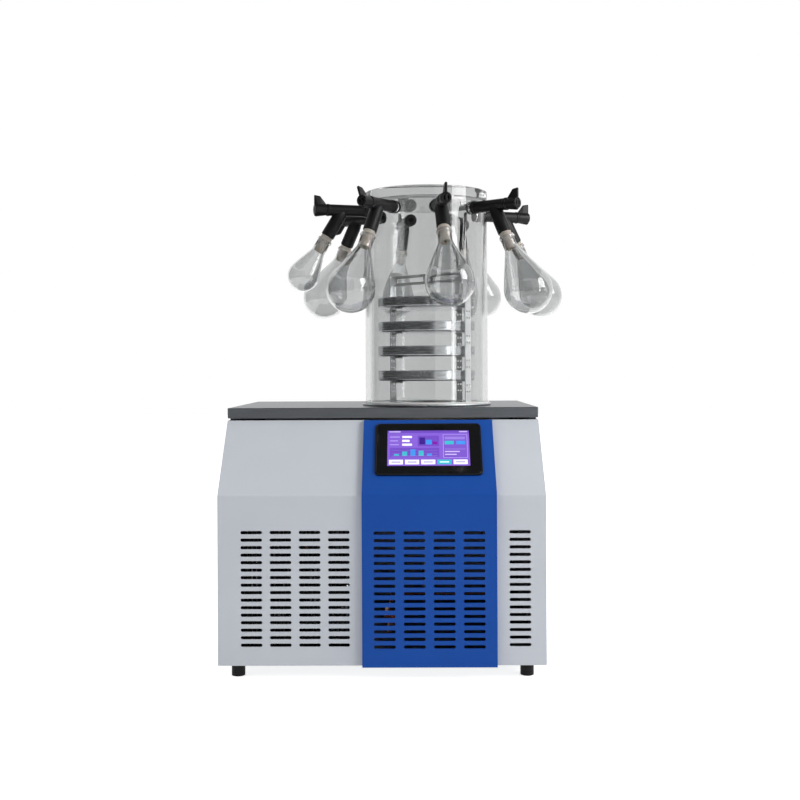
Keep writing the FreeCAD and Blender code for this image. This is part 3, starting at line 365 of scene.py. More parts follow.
whitePowder = powderCoat("powderCoatedSteelWhite", "#B8BDC4", "#BEC2C9", 0.3)
bluePowder = powderCoat("powderCoatedSteelBlue", "#0E4496", "#11499C", 0.14)
# the worktop steel is much darker than bare stainless: partly its own grey, partly
# painted shade for the dark surroundings it reflects
worktopSteel = brushedSteel("brushedStainless", "#5E6165", "#6F7276", "x", 0.34)
traySteel = brushedSteel("brushedTraySteel", "#C2C4C6", "#CDCFD1", "round", 0.2)
rackSteel = plainMetal("satinStainless", "#E6E7E8", 0.42, 14.0)
trapSteel = plainMetal("drawnStainless", "#CDCFD1", 0.4, 14.0)
galvanised = plainMetal("galvanisedSheet", "#6F7376", 0.42, 9.0)
frameMetal = plainMetal("paintedFrameSteel", "#5A5D60", 0.45, 3.0)
zincMetal = plainMetal("zincPlatedSteel", "#B7BABD", 0.3, 2.0)
# the condenser fins are near black: painted shade for the dark inside of the cabinet,
# seen through the vents
finShadeBlack = mouldedBlack("condenserFinsPaintedShade", "#0D0E0F", "#141516", 0.6, 2.0, 0.02)
copperMetal = plainMetal("drawnCopper", "#C07A55", 0.3, 5.0)
brassMetal = plainMetal("turnedBrass", "#B99A58", 0.3, 2.0)
leverMetal = plainMetal("platedLeverSteel", "#B4B7BA", 0.33, 2.0)
motorMetal = plainMetal("motorCanSteel", "#8B9095", 0.4, 2.0)
enamel = mouldedBlack("blackStoveEnamel", "#1B1C1E", "#212224", 0.32, 3.0, 0.03)
footRubber = mouldedBlack("blackRubber", "#0C0C0D", "#121213", 0.6, 0.6, 0.03)
valveRubber = mouldedBlack("mouldedNeoprene", "#0B0B0C", "#101011", 0.42, 0.8, 0.02)
knobPlastic = mouldedBlack("glassFilledNylon", "#0E0E0F", "#131314", 0.38, 0.5, 0.02)
caseAbs = mouldedBlack("blackAbs", "#111214", "#17181A", 0.34, 0.5, 0.015)
rockerAbs = mouldedBlack("glossyBlackAbs", "#101112", "#141516", 0.18, 0.8, 0.005)
fanPlastic = mouldedBlack("blackNylon", "#1C1D1E", "#232425", 0.45, 0.7, 0.02)
drumAcrylic = clearMaterial("castAcrylicTube", "#DCDDDD", 1.491, 60.0, 0.05)
lidAcrylic = clearMaterial("castAcrylicPlate", "#AEAFAF", 1.491, 60.0, 0.03)
flaskGlass = clearMaterial("borosilicateGlass", "#DADBDB", 1.474, 22.0, 0.25)
stopperSilicone = siliconeRubber("siliconeRubberBeige", "#A19B92", "#ABA59C", 0.9)
sealSilicone = siliconeRubber("siliconeRubberGrey", "#C9CBCB", "#D2D4D4", 0.6)
trapFoam = foamRubber("polyurethaneFoam", "#C2B28B", "#D6C9A6")
print("materials made")


# millimetres; a seam is where the closed profile starts, away from its corners
drum = {"wall": 10.0, "edge": 0.8, "segments": 192, "portRadius": 11.0,
        "portHeight": 884.0, "portBand": 1.3, "seam": 20.0, "drill": (0.6, 1.2),
        "drillSegments": 40}
lid = {"edge": 1.2, "ease": 0.6, "spigot": 5.0, "spigotGap": 0.2, "segments": 192}
seal = {"insideRadius": 112.0, "edge": 0.8, "squeeze": 0.1, "seam": 4.0, "segments": 160}
clearSharp = 40  # degrees over which an edge of clear plastic stays sharp
# degrees: place round the drum, swing of the leg, turn of the lever, lean of the leg
plan = [dict(zip(("place", "swing", "flask", "turn", "lean"), row)) for row in [
    (8.5, 0.0, "large", 0.0, 31.0), (48.0, 2.0, "large", 0.0, 25.0),
    (112.0, 0.0, "large", 0.0, 28.0), (152.5, 0.0, "large", 0.0, 31.0),
    (196.0, 0.0, "large", 0.0, 30.0), (235.5, 0.0, "large", 180.0, 29.0),
    (288.0, -9.0, "small", 0.0, 30.0), (328.0, -4.0, "large", 17.0, 25.0),
]]
port = drum["portHeight"]


def drilled(mesh, cutters):
    # the cutters' volumes are taken out of the mesh, and they are removed
    piece = bpy.data.objects.new("whole", mesh)
    bpy.context.scene.collection.objects.link(piece)
    group = bpy.data.collections.new("cutters")
    for cutter in cutters:
        group.objects.link(cutter)
    cut = piece.modifiers.new("drilled", "BOOLEAN")
    cut.operand_type, cut.collection, cut.solver = "COLLECTION", group, "EXACT"
    bpy.context.view_layer.update()
    mesh = bpy.data.meshes.new_from_object(
        piece.evaluated_get(bpy.context.evaluated_depsgraph_get()))
    for made in [piece] + cutters:
        bpy.data.objects.remove(made)
    bpy.data.collections.remove(group)
    return mesh


def makeDrum():
    # a tall rectangle turned round the axis, split above and below the ports, which are
    # round holes through its wall
    z0, z1 = tubeLow[2], tubeHigh[2]
    r, w, e = drumRadius, drum["wall"], drum["edge"]
    hole, seam = drum["portRadius"], z0 + drum["seam"]
    band = drum["portBand"] * hole
    above, below = port + band, port - band
    profile = roundedLine([(r - w, seam), (r - w, z0), (r, z0), (r, below), (r, above),
                           (r, z1), (r - w, z1), (r - w, above), (r - w, below),
                           (r - w, seam)], [0, e, e, 0, 0, e, e, 0, 0, 0], 3)
    whole = gridMesh("drum_tube", [turnedGrid(profile, drum["segments"])
                                   + [drumX, drumY, 0]])
    near, far = (r * share for share in drum["drill"])
    line = np.array([(0, near), (hole, near), (hole, far), (0, far)])
    drill = tilted(turnedGrid(line, drum["drillSegments"]), 90, "y") + [0, 0, port]
    drills = [gridMesh("cutter", [roundDrum(drill, row["place"])]) for row in plan]
    cutters = [bpy.data.objects.new("cutter", mesh) for mesh in drills]
    makePiece("drum_tube", drilled(whole, cutters), drumAcrylic, "machine",
              ["chamber_tube"], clearSharp)


def makeLid():
    # a disc with a shallow step that sits inside the tube, turned round the drum's axis
    low, high = placeOf("chamber_lid")
    r = (high[0] - low[0]) / 2
    seat = low[2] + lid["spigot"]
    spigot = r - drum["wall"] - lid["spigotGap"]
    profile = roundedLine([(0, low[2]), (spigot, low[2]), (spigot, seat), (r, seat),
                           (r, high[2]), (0, high[2])],
                          [0, lid["ease"], 0, lid["ease"], lid["edge"], 0], 4)
    mesh = gridMesh("drum_lid", [turnedGrid(profile, lid["segments"])
                                 + [drumX, drumY, 0]])
    makePiece("drum_lid", mesh, lidAcrylic, "machine", ["chamber_lid"],
              clearSharp)


def makeSeal():
    # a flat ring with eased edges, turned round the drum's axis, pressed down a little
    # by the tube that stands on it
    low, high = placeOf("chamber_seal")
    r0, r1, e = seal["insideRadius"], (high[0] - low[0]) / 2, seal["edge"]
    top, seam = high[2] - seal["squeeze"], r1 - seal["seam"]
    profile = roundedLine([(seam, low[2]), (r1, low[2]), (r1, top), (r0, top),
                           (r0, low[2]), (seam, low[2])], [0, e, e, e, e, 0], 3)
    mesh = gridMesh("drum_seal", [turnedGrid(profile, seal["segments"])
                                  + [drumX, drumY, 0]])
    makePiece("drum_seal", mesh, sealSilicone, "machine", ["chamber_seal"])


makeDrum()
makeLid()
makeSeal()
print("drum made")


# millimetres; a start or an end is a distance from the drum's axis
valve = {"barrelRadius": 11.5, "barrelEnd": 210.0, "footRadius": 13.0, "foot": 6.0,
         "footSlope": 1.2, "press": 0.5, "bead": 0.7, "beadLength": 5.0, "beadSlope": 1.0,
         "spigotRadius": 10.8, "insideEnd": 111.0, "insideRadius": 12.5, "insideGap": 0.6,
         "bore": 8.0, "innerBore": 6.0, "blind": 22.0, "legStart": 176.0,
         "legLength": 61.0, "legRadius": 13.5, "legTaper": 18.0, "legBore": 6.0,
         "legDepth": 16.0, "crown": 2.0, "crownEdge": 3.5, "shoulder": 3.0,
         "shoulderInset": 0.2, "socketRadius": 10.0, "socketDepth": 14.5, "segments": 64}
knob = {"radius": 10.8, "start": 210.3, "end": 235.0, "stemRadius": 7.9,
        "stemEnd": 190.0, "recessRadius": 5.5, "recessDepth": 8.0, "leverThickness": 5.0,
        "leverEdge": 1.0, "leverRise": 29.0, "leverTip": 12.0, "leverDrop": 2.0,
        "heel": 3.0, "heelDrop": 1.0, "faceShare": 0.94, "easedShare": 0.98,
        "easedStep": 0.3}
plug = {"bore": 4.0, "inLeg": 14.0, "inLegRadius": 9.9, "band": 6.5, "bandRadius": 11.8,
        "collar": 2.5, "collarRadius": 14.2, "length": 27.0, "topRadius": 11.2,
        "tipRadius": 9.8, "segments": 64}
# large and small are the ball's radius and the whole length; beadInset is where the
# bead's middle lies outside the neck, and outside and inside are where the straight
# lines start below it, in beads
flask = {"neckRadius": 13.5, "neckLength": 27.0, "bead": 2.0, "beadInset": 0.2,
         "outside": 2.2, "inside": 1.2, "wall": 2.0, "fillet": 22.0,
         "large": (46.5, 161.5), "small": (31.5, 115.0), "ballSteps": 26,
         "filletSteps": 10, "beadSteps": 14, "segments": 96}
manifoldSharp = 50  # degrees over which an edge of rubber or plastic stays sharp


def swung(grid, degrees):
    # turned about the valve's own barrel
    return tilted(grid, degrees, "x", (0, 0, port))


def downLeg(grid, row):
    # from a piece turned about Z with its length downwards to the lower end of the leg,
    # swung and turned round the drum with it
    lean = math.radians(row["lean"])
    x = valve["legStart"] + valve["legLength"] * math.sin(lean)
    z = port - valve["legLength"] * math.cos(lean)
    hung = tilted(grid, -row["lean"], "y") + [x, 0, z]
    return roundDrum(swung(hung, row["swing"]), row["place"])


def alongBarrel(profile):
    # a profile of (distance from the drum's axis, radius) turned about the barrel
    upright = turnedGrid(profile[:, ::-1], valve["segments"])
    return tilted(upright, 90, "y") + [0, 0, port]


def valveGrids(row):
    # the barrel's profile turned about it: inner flange, spigot, foot against the drum,
    # and a rolled bead at the open end; the leg's profile turned about its own axis
    v = valve
    r, foot, b = v["barrelRadius"], v["footRadius"], v["bore"]
    s, end = v["spigotRadius"], v["barrelEnd"]
    inner, inside, inBore = v["insideEnd"], v["insideRadius"], v["innerBore"]
    wall = drumRadius - drum["wall"] - v["insideGap"]
    skin, footEnd = drumRadius - v["press"], drumRadius + v["foot"]
    rim, hidden = end - v["beadLength"], v["legStart"] - v["blind"]
    barrel = roundedLine([
        (inner, inBore), (inner, inside), (wall, inside), (wall, s), (skin, s),
        (skin, foot), (footEnd, foot), (footEnd + v["footSlope"], r),
        (rim - v["beadSlope"], r), (rim, r + v["bead"]), (end, r + v["bead"]), (end, b),
        (hidden, b), (hidden, inBore), (inner, inBore)],
        [0, 1.2, 0.5, 0, 0.5, 1.6, 1.0, 1.2, 0.8, 0.8, 1.6, 0.5, 0, 0, 0], 4)
    length, q, socket = v["legLength"], v["legRadius"], v["socketRadius"]
    top, bottom = length - v["legTaper"], length - v["legDepth"]
    leg = roundedLine([
        (0, length + v["crown"]), (r - v["crownEdge"], length + v["crown"] / 2),
        (r - v["shoulderInset"], length - v["shoulder"]), (q, top), (q, 0), (socket, 0),
        (socket, v["socketDepth"]), (v["legBore"], v["socketDepth"]),
        (v["legBore"], bottom), (0, bottom)],
        [0, 0, 0, 20.0, 1.4, 0.8, 0, 0, 0, 0], 5)
    return [roundDrum(alongBarrel(barrel), row["place"]),
            downLeg(turnedGrid(leg, v["segments"]), row)]


def knobGrids(row):
    # the plug and its end boss turned about the barrel; the lever is a side view shrunk
    # by a share towards its middle at each step across its thickness, which closes both
    # faces and eases their edges
    k = knob
    x0, x1, r, stem = k["start"], k["end"], k["radius"], k["stemRadius"]
    deep = x1 - k["recessDepth"]
    line = roundedLine([(k["stemEnd"], 0), (k["stemEnd"], stem), (x0, stem), (x0, r),
                        (x1, r), (x1, k["recessRadius"]), (deep, k["recessRadius"]),
                        (deep, 0)], [0, 0, 0, 0.6, 1.4, 0.7, 0.6, 0], 4)
    high, low = port + k["leverRise"], port - r
    side = roundedLine([(x0, port), (x0, port + r),
                        (x1 - k["leverTip"], high - k["leverDrop"]), (x1, high),
                        (x1, low - k["heelDrop"]), (x1 - k["heel"], low - k["heel"]),
                        (x0, low), (x0, port)],
                       [0, 2.5, 2.5, 1.2, 1.2, 1.2, 1, 0], 5)
    middle = np.array([(x0 + x1) / 2, port])
    half, edge = k["leverThickness"] / 2, k["leverEdge"]
    face, eased, step = k["faceShare"], k["easedShare"], edge * k["easedStep"]
    rows = [(-half, 0.0), (-half, face), (-half + step, eased), (-half + edge, 1.0),
            (half - edge, 1.0), (half - step, eased), (half, face), (half, 0.0)]
    lever = np.stack([np.insert(middle + (side - middle) * share, 1, y, axis=1)
                      for y, share in rows])
    return [roundDrum(swung(alongBarrel(line), row["turn"]), row["place"]),
            roundDrum(swung(lever, row["turn"]), row["place"])]


def plugGrid(row):
    # the stopper's profile turned about the leg's axis: inside the leg, band, collar,
    # and the slightly conical length inside the neck
    p = plug
    low, bore = p["band"] + p["collar"], p["bore"]
    tip = -low - p["length"]
    profile = roundedLine([
        (bore, 0), (bore, p["inLeg"]), (p["inLegRadius"], p["inLeg"]),
        (p["inLegRadius"], 0), (p["bandRadius"], 0), (p["bandRadius"], -p["band"]),
        (p["collarRadius"], -p["band"]), (p["collarRadius"], -low),
        (p["topRadius"], -low), (p["tipRadius"], tip), (bore, tip), (bore, 0)],
        [0, 0.5, 1, 0, 0.8, 0.5, 0.8, 0.8, 0, 1.2, 0.5, 0], 4)
    return downLeg(turnedGrid(profile, p["segments"]), row)


def flaskLine(bulb, length, inward):
    # from the mouth down: straight neck, fillet, a cone that touches the ball, the ball
    r, ball, middle = flask["neckRadius"] - inward, bulb - inward, bulb - length
    neck = flask["neckLength"]
    span = math.hypot(r, neck + middle)
    lean = math.asin(ball / span) - math.atan2(r, -neck - middle)
    touch = (ball * math.cos(lean), middle + ball * math.sin(lean))
    top = roundedLine([(r, 0), (r, -neck), touch], [0, flask["fillet"] + inward, 0],
                      flask["filletSteps"])
    angle = np.linspace(lean, -math.pi / 2, flask["ballSteps"])[1:]
    arc = np.stack([ball * np.cos(angle), middle + ball * np.sin(angle)], -1)
    arc[-1, 0] = 0
    return np.concatenate([top, arc])


def flaskGrid(row):
    # the outer line, the fire-polished bead round the mouth and the inner line, turned
    # about the leg's axis as one closed wall of glass
    bulb, length = flask[row["flask"]]
    outside = flaskLine(bulb, length, 0)
    inside = flaskLine(bulb, length, flask["wall"])
    t = np.linspace(-math.pi / 2, math.pi, flask["beadSteps"])[:, None]
    r, bead, inset = flask["neckRadius"], flask["bead"], flask["beadInset"]
    ring = np.concatenate([r + inset + (bead - inset) * np.cos(t),
                           -bead + bead * np.sin(t)], -1)
    ring = ring[ring[:, 0] > r - flask["wall"] - 1e-6]
    outside = outside[outside[:, 1] < -flask["outside"] * bead]
    inside = inside[inside[:, 1] < -flask["inside"] * bead]
    profile = np.concatenate([outside[::-1], ring, inside])
    mouth = [0, 0, -plug["band"] - plug["collar"]]
    return downLeg(turnedGrid(profile, flask["segments"]) + mouth, row)


for number, row in enumerate(plan, 1):
    name = "valve_tee_%d" % number
    makePiece(name, gridMesh(name, valveGrids(row)), valveRubber, "machine",
              ["valve_body_%d" % number], manifoldSharp)
    name = "valve_tap_%d" % number
    makePiece(name, gridMesh(name, knobGrids(row)), knobPlastic, "knob_%d" % number,
              ["valve_knob_%d" % number], manifoldSharp)
    name = "freeze_flask_%d" % number
    makePiece(name, gridMesh(name, [flaskGrid(row)]), flaskGlass, "machine",
              ["flask_%d" % number])
makePiece("flask_stoppers", gridMesh("flask_stoppers", [plugGrid(row) for row in plan]),
          stopperSilicone, "machine", ["stoppers"], manifoldSharp)
print("manifold made")


folded = [  # sheets with tight folds, shaded face by face: node, name, material, slot
    ("left_cover", "cover_left", whitePowder, "white_powder_coat"),
    ("right_cover", "cover_right", whitePowder, "white_powder_coat"),
    ("rear_panel", "panel_rear", whitePowder, "white_powder_coat"),
    ("centre_panel", "panel_centre", bluePowder, "blue_powder_coat"),
    ("worktop", "top_plate", worktopSteel, "brushed_stainless"),
]
for node, name, material, slot in folded:
    cleanCopy(node, name, material, "machine", shading["foldedSharp"])

rounded = [  # node, name, material, body, slot
    ("feet", "rubber_feet", footRubber, "machine", "black_rubber"),
    ("screen_bezel", "screen_frame", caseAbs, "machine", "black_abs"),
    ("trap_cup", "trap_bowl", trapSteel, "machine", "stainless_steel"),
    ("rack_frame", "tray_rack", rackSteel, "machine", "stainless_steel"),
    ("vacuum_port", "pump_port", trapSteel, "machine", "stainless_steel"),
    ("panel_screws", "rear_screws", zincMetal, "machine", "zinc_plated_steel"),
    ("drain_valve", "drain_cock", brassMetal, "machine", "brass"),
    ("drain_lever", "drain_handle_plate", leverMetal, "drain_handle", "lever_steel"),
    ("power_inlet", "mains_inlet", caseAbs, "machine", "black_abs"),
    ("power_rocker", "mains_rocker", rockerAbs, "switch", "black_abs"),
] + [("tray_%d" % i, "drying_tray_%d" % i, traySteel, "machine", "stainless_steel")
     for i in range(1, 5)]
for node, name, material, body, slot in rounded:
    cleanCopy(node, name, material, body, shading["roundedSharp"])

# inner nodes keep their own surfaces
inner = {"base_pan": galvanised, "inner_frame": frameMetal, "control_box": galvanised,
         "compressor": enamel, "condenser": finShadeBlack, "fan_shroud": galvanised,
         "fan_motor": motorMetal, "fan_blade": fanPlastic, "trap_insulation": trapFoam,
         "evaporator_coil": copperMetal, "refrigerant_lines": copperMetal}
for node, material in inner.items():
    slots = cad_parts[node].data.materials
    slots.clear()
    slots.append(material)
print("cabinet made")


# millimetres: the panel's slope, the lit area, how far it sits up the slope, where its
# fields start out of the middle of the pane and the step from layer to layer
screen = {"slopeRun": 127.0, "slopeRise": 132.0, "width": 154.0, "height": 86.0,
          "up": 1.0, "below": 0.8, "lift": 0.02, "glow": 0.25, "sheen": 0.35,
          "smear": 25.0, "baseSteps": 3, "sharp": 20}
fields = [  # left, low, right, high as shares of the display, colour, layer
    (0.0, 0.0, 1.0, 1.0, "#7E5AC8", 0),
    (0.0, 0.93, 1.0, 1.0, "#6746B4", 1), (0.02, 0.95, 0.16, 0.98, "#C9BDEB", 2),
    (0.88, 0.95, 0.98, 0.98, "#C9BDEB", 2),
    (0.03, 0.8, 0.15, 0.83, "#A693DB", 1), (0.18, 0.785, 0.3, 0.845, "#F3F1FA", 1),
    (0.03, 0.69, 0.13, 0.72, "#A693DB", 1), (0.18, 0.675, 0.27, 0.735, "#F3F1FA", 1),
    (0.03, 0.58, 0.14, 0.61, "#A693DB", 1), (0.18, 0.565, 0.3, 0.625, "#F3F1FA", 1),
    (0.37, 0.55, 0.63, 0.85, "#6A48B8", 1), (0.39, 0.6, 0.46, 0.8, "#3B1F86", 2),
    (0.47, 0.6, 0.54, 0.73, "#3E8EE0", 2), (0.55, 0.6, 0.61, 0.68, "#7A1FA0", 2),
    (0.03, 0.24, 0.63, 0.5, "#6A48B8", 1), (0.05, 0.27, 0.61, 0.275, "#B7A8E2", 2),
    (0.05, 0.35, 0.61, 0.355, "#8F78CF", 2), (0.05, 0.43, 0.61, 0.435, "#8F78CF", 2),
    (0.08, 0.28, 0.14, 0.33, "#39B3C4", 2), (0.18, 0.28, 0.24, 0.4, "#39B3C4", 2),
    (0.28, 0.28, 0.34, 0.46, "#3E8EE0", 2), (0.38, 0.28, 0.44, 0.42, "#39B3C4", 2),
    (0.48, 0.28, 0.54, 0.34, "#3E8EE0", 2),
    (0.68, 0.22, 0.975, 0.88, "#B9ABE4", 1), (0.685, 0.23, 0.97, 0.87, "#7552C0", 2),
    (0.7, 0.74, 0.95, 0.82, "#8F78CF", 3), (0.7, 0.6, 0.81, 0.7, "#39B3C4", 3),
    (0.84, 0.6, 0.95, 0.7, "#3E8EE0", 3), (0.7, 0.46, 0.95, 0.47, "#A693DB", 3),
    (0.7, 0.38, 0.88, 0.41, "#C9BDEB", 3), (0.7, 0.3, 0.84, 0.33, "#C9BDEB", 3),
    (0.02, 0.04, 0.19, 0.17, "#F3F1FA", 1), (0.215, 0.04, 0.385, 0.17, "#F3F1FA", 1),
    (0.41, 0.04, 0.58, 0.17, "#F3F1FA", 1), (0.605, 0.04, 0.775, 0.17, "#39B3C4", 1),
    (0.8, 0.04, 0.97, 0.17, "#F3F1FA", 1),
    (0.05, 0.09, 0.16, 0.12, "#9A8FC0", 2), (0.245, 0.09, 0.355, 0.12, "#9A8FC0", 2),
    (0.44, 0.09, 0.55, 0.12, "#9A8FC0", 2), (0.635, 0.09, 0.745, 0.12, "#E4F6F8", 2),
    (0.83, 0.09, 0.94, 0.12, "#9A8FC0", 2),
]


def onScreen(points):
    # across, up the slope and out of it, from the middle of the screen's pane
    low, high = placeOf("screen_glass")
    lean = math.atan2(screen["slopeRun"], screen["slopeRise"])
    up = np.array([0, math.sin(lean), math.cos(lean)])
    out = np.array([0, -math.cos(lean), math.sin(lean)])
    middle = (low + high) / 2
    return (middle + points[..., :1] * [1, 0, 0] + points[..., 1:2] * up
            + points[..., 2:] * out)


def litDisplay():
    # lit liquid crystal behind plain glass: each field's own colour and a little glow
    # under a soft sheen
    material, tree, where = newMaterial("litDisplayGlass")
    tone = addNode(tree, "Attribute", attribute_name="fieldColour").outputs["Color"]
    smear = addNode(tree, "TexNoise", {
        "Vector": where, "Scale": 1 / (screen["smear"] * mm), "Detail": 3.0})
    gloss = addNode(tree, "MapRange", {**noiseSpan, "Value": smear,
                                       "To Min": 0.1, "To Max": 0.18})
    shader = addNode(tree, "BsdfPrincipled", {
        "Base Color": tone, "Emission Color": tone, "Emission Strength": screen["glow"],
        "Roughness": gloss, "Specular IOR Level": screen["sheen"]})
    addNode(tree, "OutputMaterial", {"Surface": shader})
    return material


def coverGlass():
    # black-printed cover glass: a deep gloss that wiping has left a little uneven
    material, tree, where = newMaterial("blackCoverGlass")
    smear = addNode(tree, "TexNoise", {
        "Vector": where, "Scale": 1 / (screen["smear"] * mm), "Detail": 3.0})
    gloss = addNode(tree, "MapRange", {**noiseSpan, "Value": smear,
                                       "To Min": 0.06, "To Max": 0.14})
    shader = addNode(tree, "BsdfPrincipled", {"Base Color": linear("#0A0B0D"),
                                              "Roughness": gloss})
    addNode(tree, "OutputMaterial", {"Surface": shader})
    return material


def makeDisplay():
    # each field is a flat box: its corners are its shares of the display's width and
    # height, counted from the middle, and its top is one lift above the layer below
    w, h = screen["width"], screen["height"]
    table = np.array([f[:4] for f in fields])
    layer = np.array([f[5] for f in fields])
    x0, y0 = (table[:, 0] - 0.5) * w, (table[:, 1] - 0.5) * h + screen["up"]
    x1, y1 = (table[:, 2] - 0.5) * w, (table[:, 3] - 0.5) * h + screen["up"]
    loop = np.stack([np.stack([x0, y0], -1), np.stack([x1, y0], -1),
                     np.stack([x1, y1], -1), np.stack([x0, y1], -1)], 1)
    foot = np.full(loop.shape[:2] + (1,), screen["below"])
    lift = screen["lift"]
    head = foot + screen["baseSteps"] * lift + lift * layer[:, None, None]
    points = onScreen(np.concatenate([np.concatenate([loop, foot], -1),
                                      np.concatenate([loop, head], -1)], 1))
    box = np.array([(3, 2, 1, 0), (4, 5, 6, 7), (0, 1, 5, 4), (1, 2, 6, 5), (2, 3, 7, 6),
                    (3, 0, 4, 7)])
    faces = (box[None] + 8 * np.arange(len(fields))[:, None, None]).reshape(-1, 4)
    mesh = bpy.data.meshes.new("display_fields")
    mesh.from_pydata((points.reshape(-1, 3) * mm).tolist(), [], faces.tolist())
    tones = mesh.attributes.new("fieldColour", "FLOAT_COLOR", "FACE")
    colours = np.array([linear(f[4]) for f in fields])
    tones.data.foreach_set("color", np.repeat(colours, 6, 0).ravel())
    makePiece("display_fields", mesh, litDisplay(), "machine", sharp=screen["sharp"])


cleanCopy("screen_glass", "screen_pane", coverGlass(), "machine",
          shading["roundedSharp"])
makeDisplay()
print("screen made")


# metres, and brightness where 1 is white
studio = {"floor": 12.0, "floorColour": "#F4F4F4", "floorGlow": 0.76, "ambient": 0.4,
          "floorLines": 9, "fibre": 0.003}
lamps = [  # name, place, aim, width, height (m), power (W), seen in mirrors
    ("rightSoftbox", (2.45, -1.1, 1.85), (0.05, 0.0, 0.75), 1.2, 1.8, 60.0, True),
    ("rightStrip", (2.15, -1.75, 1.3), (0.05, 0.0, 0.9), 0.3, 2.2, 14.0, True),
    ("leftSoftbox", (-2.2, -1.4, 1.3), (0.05, 0.0, 0.9), 0.9, 2.2, 16.0, False),
    ("overhead", (0.2, 0.3, 3.2), (0.05, 0.0, 0.5), 2.0, 2.0, 16.0, False),
]
# metres, degrees round from the front, and brightness at the left, right and hem
flag = {"radius": 3.6, "height": 3.4, "from": -122.0, "to": 16.0, "left": 0.09,
        "right": 0.16, "columns": 48, "canopy": 2.4, "hem": 0.5, "hemGlow": 0.5}
# metres, millimetres, and degrees from level and straight ahead
view = {"place": (0.01632, -2.45882, 0.56723), "lens": 53.27, "sensor": 36.0,
        "shift": (0.0, -0.03998), "level": 90.0, "roll": 0.259, "turn": 0.532}


def stageSheet(material, grids, tree, surface):
    # sheets of the studio round the object, as grids in metres
    addNode(tree, "OutputMaterial", {"Surface": surface})
    mesh = gridMesh(material.name, [grid / mm for grid in grids], False)
    mesh.materials.append(material)
    sheet = bpy.data.objects.new(material.name, mesh)
    bpy.context.scene.collection.objects.link(sheet)
    return sheet


def seenRays(tree):
    # 1 for what is seen straight, in a mirror or through glass, 0 for what lights
    rays = addNode(tree, "LightPath")
    plain = addNode(tree, "Math", {0: rays.outputs["Is Camera Ray"],
                                   1: rays.outputs["Is Glossy Ray"]}, operation="MAXIMUM")
    return addNode(tree, "Math", {0: plain, 1: rays.outputs["Is Transmission Ray"]},
                   operation="MAXIMUM")


def makeFloor():
    # flat and level; seen straight, in a mirror or through glass it reads as lit paper,
    # white where nothing shades it
    size = studio["floor"]
    line = np.linspace(-size, size, studio["floorLines"])
    x, y = np.meshgrid(line, line)
    material, tree, where = newMaterial("matPaperFloor")
    fibre = addNode(tree, "TexNoise", {"Vector": where, "Scale": 1 / studio["fibre"]})
    gloss = addNode(tree, "MapRange", {"Value": fibre, "To Min": 0.85, "To Max": 0.95})
    paper = addNode(tree, "BsdfPrincipled", {"Base Color": linear(studio["floorColour"]),
                                             "Roughness": gloss})
    glow = addNode(tree, "Emission", {"Strength": studio["floorGlow"]})
    lit = addNode(tree, "AddShader", {0: paper, 1: glow})
    surface = addNode(tree, "MixShader", {0: seenRays(tree), 1: paper, 2: lit})
    stageSheet(material, [np.stack([x, y, 0 * x], -1)], tree, surface)


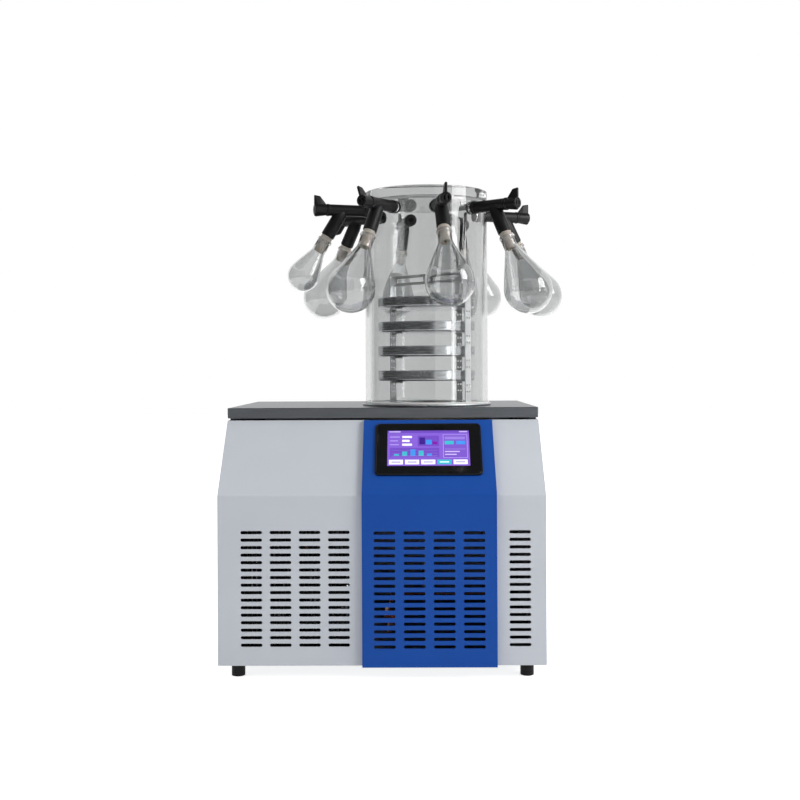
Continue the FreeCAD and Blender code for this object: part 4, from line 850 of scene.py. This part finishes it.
def makeFlag():
    # an upright arc of dark cloth from the left round behind the camera, with
    # x = radius sin(angle) and y = -radius cos(angle), and a level sheet overhead: they
    # are dark only in reflections, where they draw the dark edges in steel and glass,
    # and as white as the backdrop where glass is looked straight through
    angle = np.radians(np.linspace(flag["from"], flag["to"], flag["columns"]))
    x, y = flag["radius"] * np.sin(angle), -flag["radius"] * np.cos(angle)
    wall = np.stack([np.stack([x, y, 0 * x + z], -1) for z in (0, flag["height"])])
    ends = (-flag["canopy"], flag["canopy"])
    x, y = np.meshgrid(ends, ends)
    canopy = np.stack([x, y, 0 * x + flag["height"]], -1)
    material, tree, where = newMaterial("darkFlag")
    across = addNode(tree, "SeparateXYZ", {"Vector": where})
    level = addNode(tree, "MapRange", {
        "Value": across, "From Min": -flag["radius"], "From Max": flag["radius"],
        "To Min": flag["left"], "To Max": flag["right"]})
    fade = addNode(tree, "MapRange", {
        "Value": across.outputs["Z"], "From Min": 0.0, "From Max": flag["hem"],
        "To Min": flag["hemGlow"], "To Max": 0.0})
    level = addNode(tree, "Math", {0: level, 1: fade}, operation="ADD")
    path = addNode(tree, "LightPath")
    mirrored = addNode(tree, "Math", {0: path.outputs["Glossy Depth"], 1: 0.5},
                       operation="GREATER_THAN")
    tone = addNode(tree, "Mix", {0: mirrored, 2: 1.0, 3: level}, data_type="FLOAT")
    cloth = addNode(tree, "Emission", {"Strength": tone})
    sheet = stageSheet(material, [wall, canopy], tree, cloth)
    sheet.visible_camera = sheet.visible_diffuse = sheet.visible_shadow = False


def makeWorld():
    # white where it is seen, and dimmer as a light
    world = bpy.data.worlds.new("studio")
    bpy.context.scene.world = world
    world.use_nodes = True
    tree = world.node_tree
    strength = addNode(tree, "MapRange", {
        "Value": seenRays(tree), "To Min": studio["ambient"], "To Max": 1.0})
    back = tree.nodes["Background"]
    back.inputs["Color"].default_value = (1, 1, 1, 1)
    tree.links.new(strength.outputs[0], back.inputs["Strength"])


def makeLamps():
    # area lamps turned to their aims; only the two at the right show in gloss
    for name, spot, aim, width, height, power, mirrored in lamps:
        light = bpy.data.lights.new(name, "AREA")
        light.shape, light.energy = "RECTANGLE", power
        light.size, light.size_y = width, height
        lamp = bpy.data.objects.new(name, light)
        bpy.context.scene.collection.objects.link(lamp)
        lamp.location = spot
        way = Vector(aim) - Vector(spot)
        lamp.rotation_mode = "QUATERNION"
        lamp.rotation_quaternion = way.to_track_quat("-Z", "Y")
        lamp.visible_glossy = lamp.visible_transmission = mirrored


def makeCamera():
    # level, with its lens shifted down rather than tipped
    data = bpy.data.cameras.new("camera")
    data.lens, data.sensor_width = view["lens"], view["sensor"]
    data.shift_x, data.shift_y = view["shift"]
    camera = bpy.data.objects.new("camera", data)
    bpy.context.scene.collection.objects.link(camera)
    camera.location = view["place"]
    camera.rotation_euler = np.radians((view["level"], view["roll"], view["turn"]))
    bpy.context.scene.camera = camera
    bpy.context.scene.view_settings.view_transform = "Standard"


makeFloor()
makeFlag()
makeWorld()
makeLamps()
makeCamera()
print("studio made")
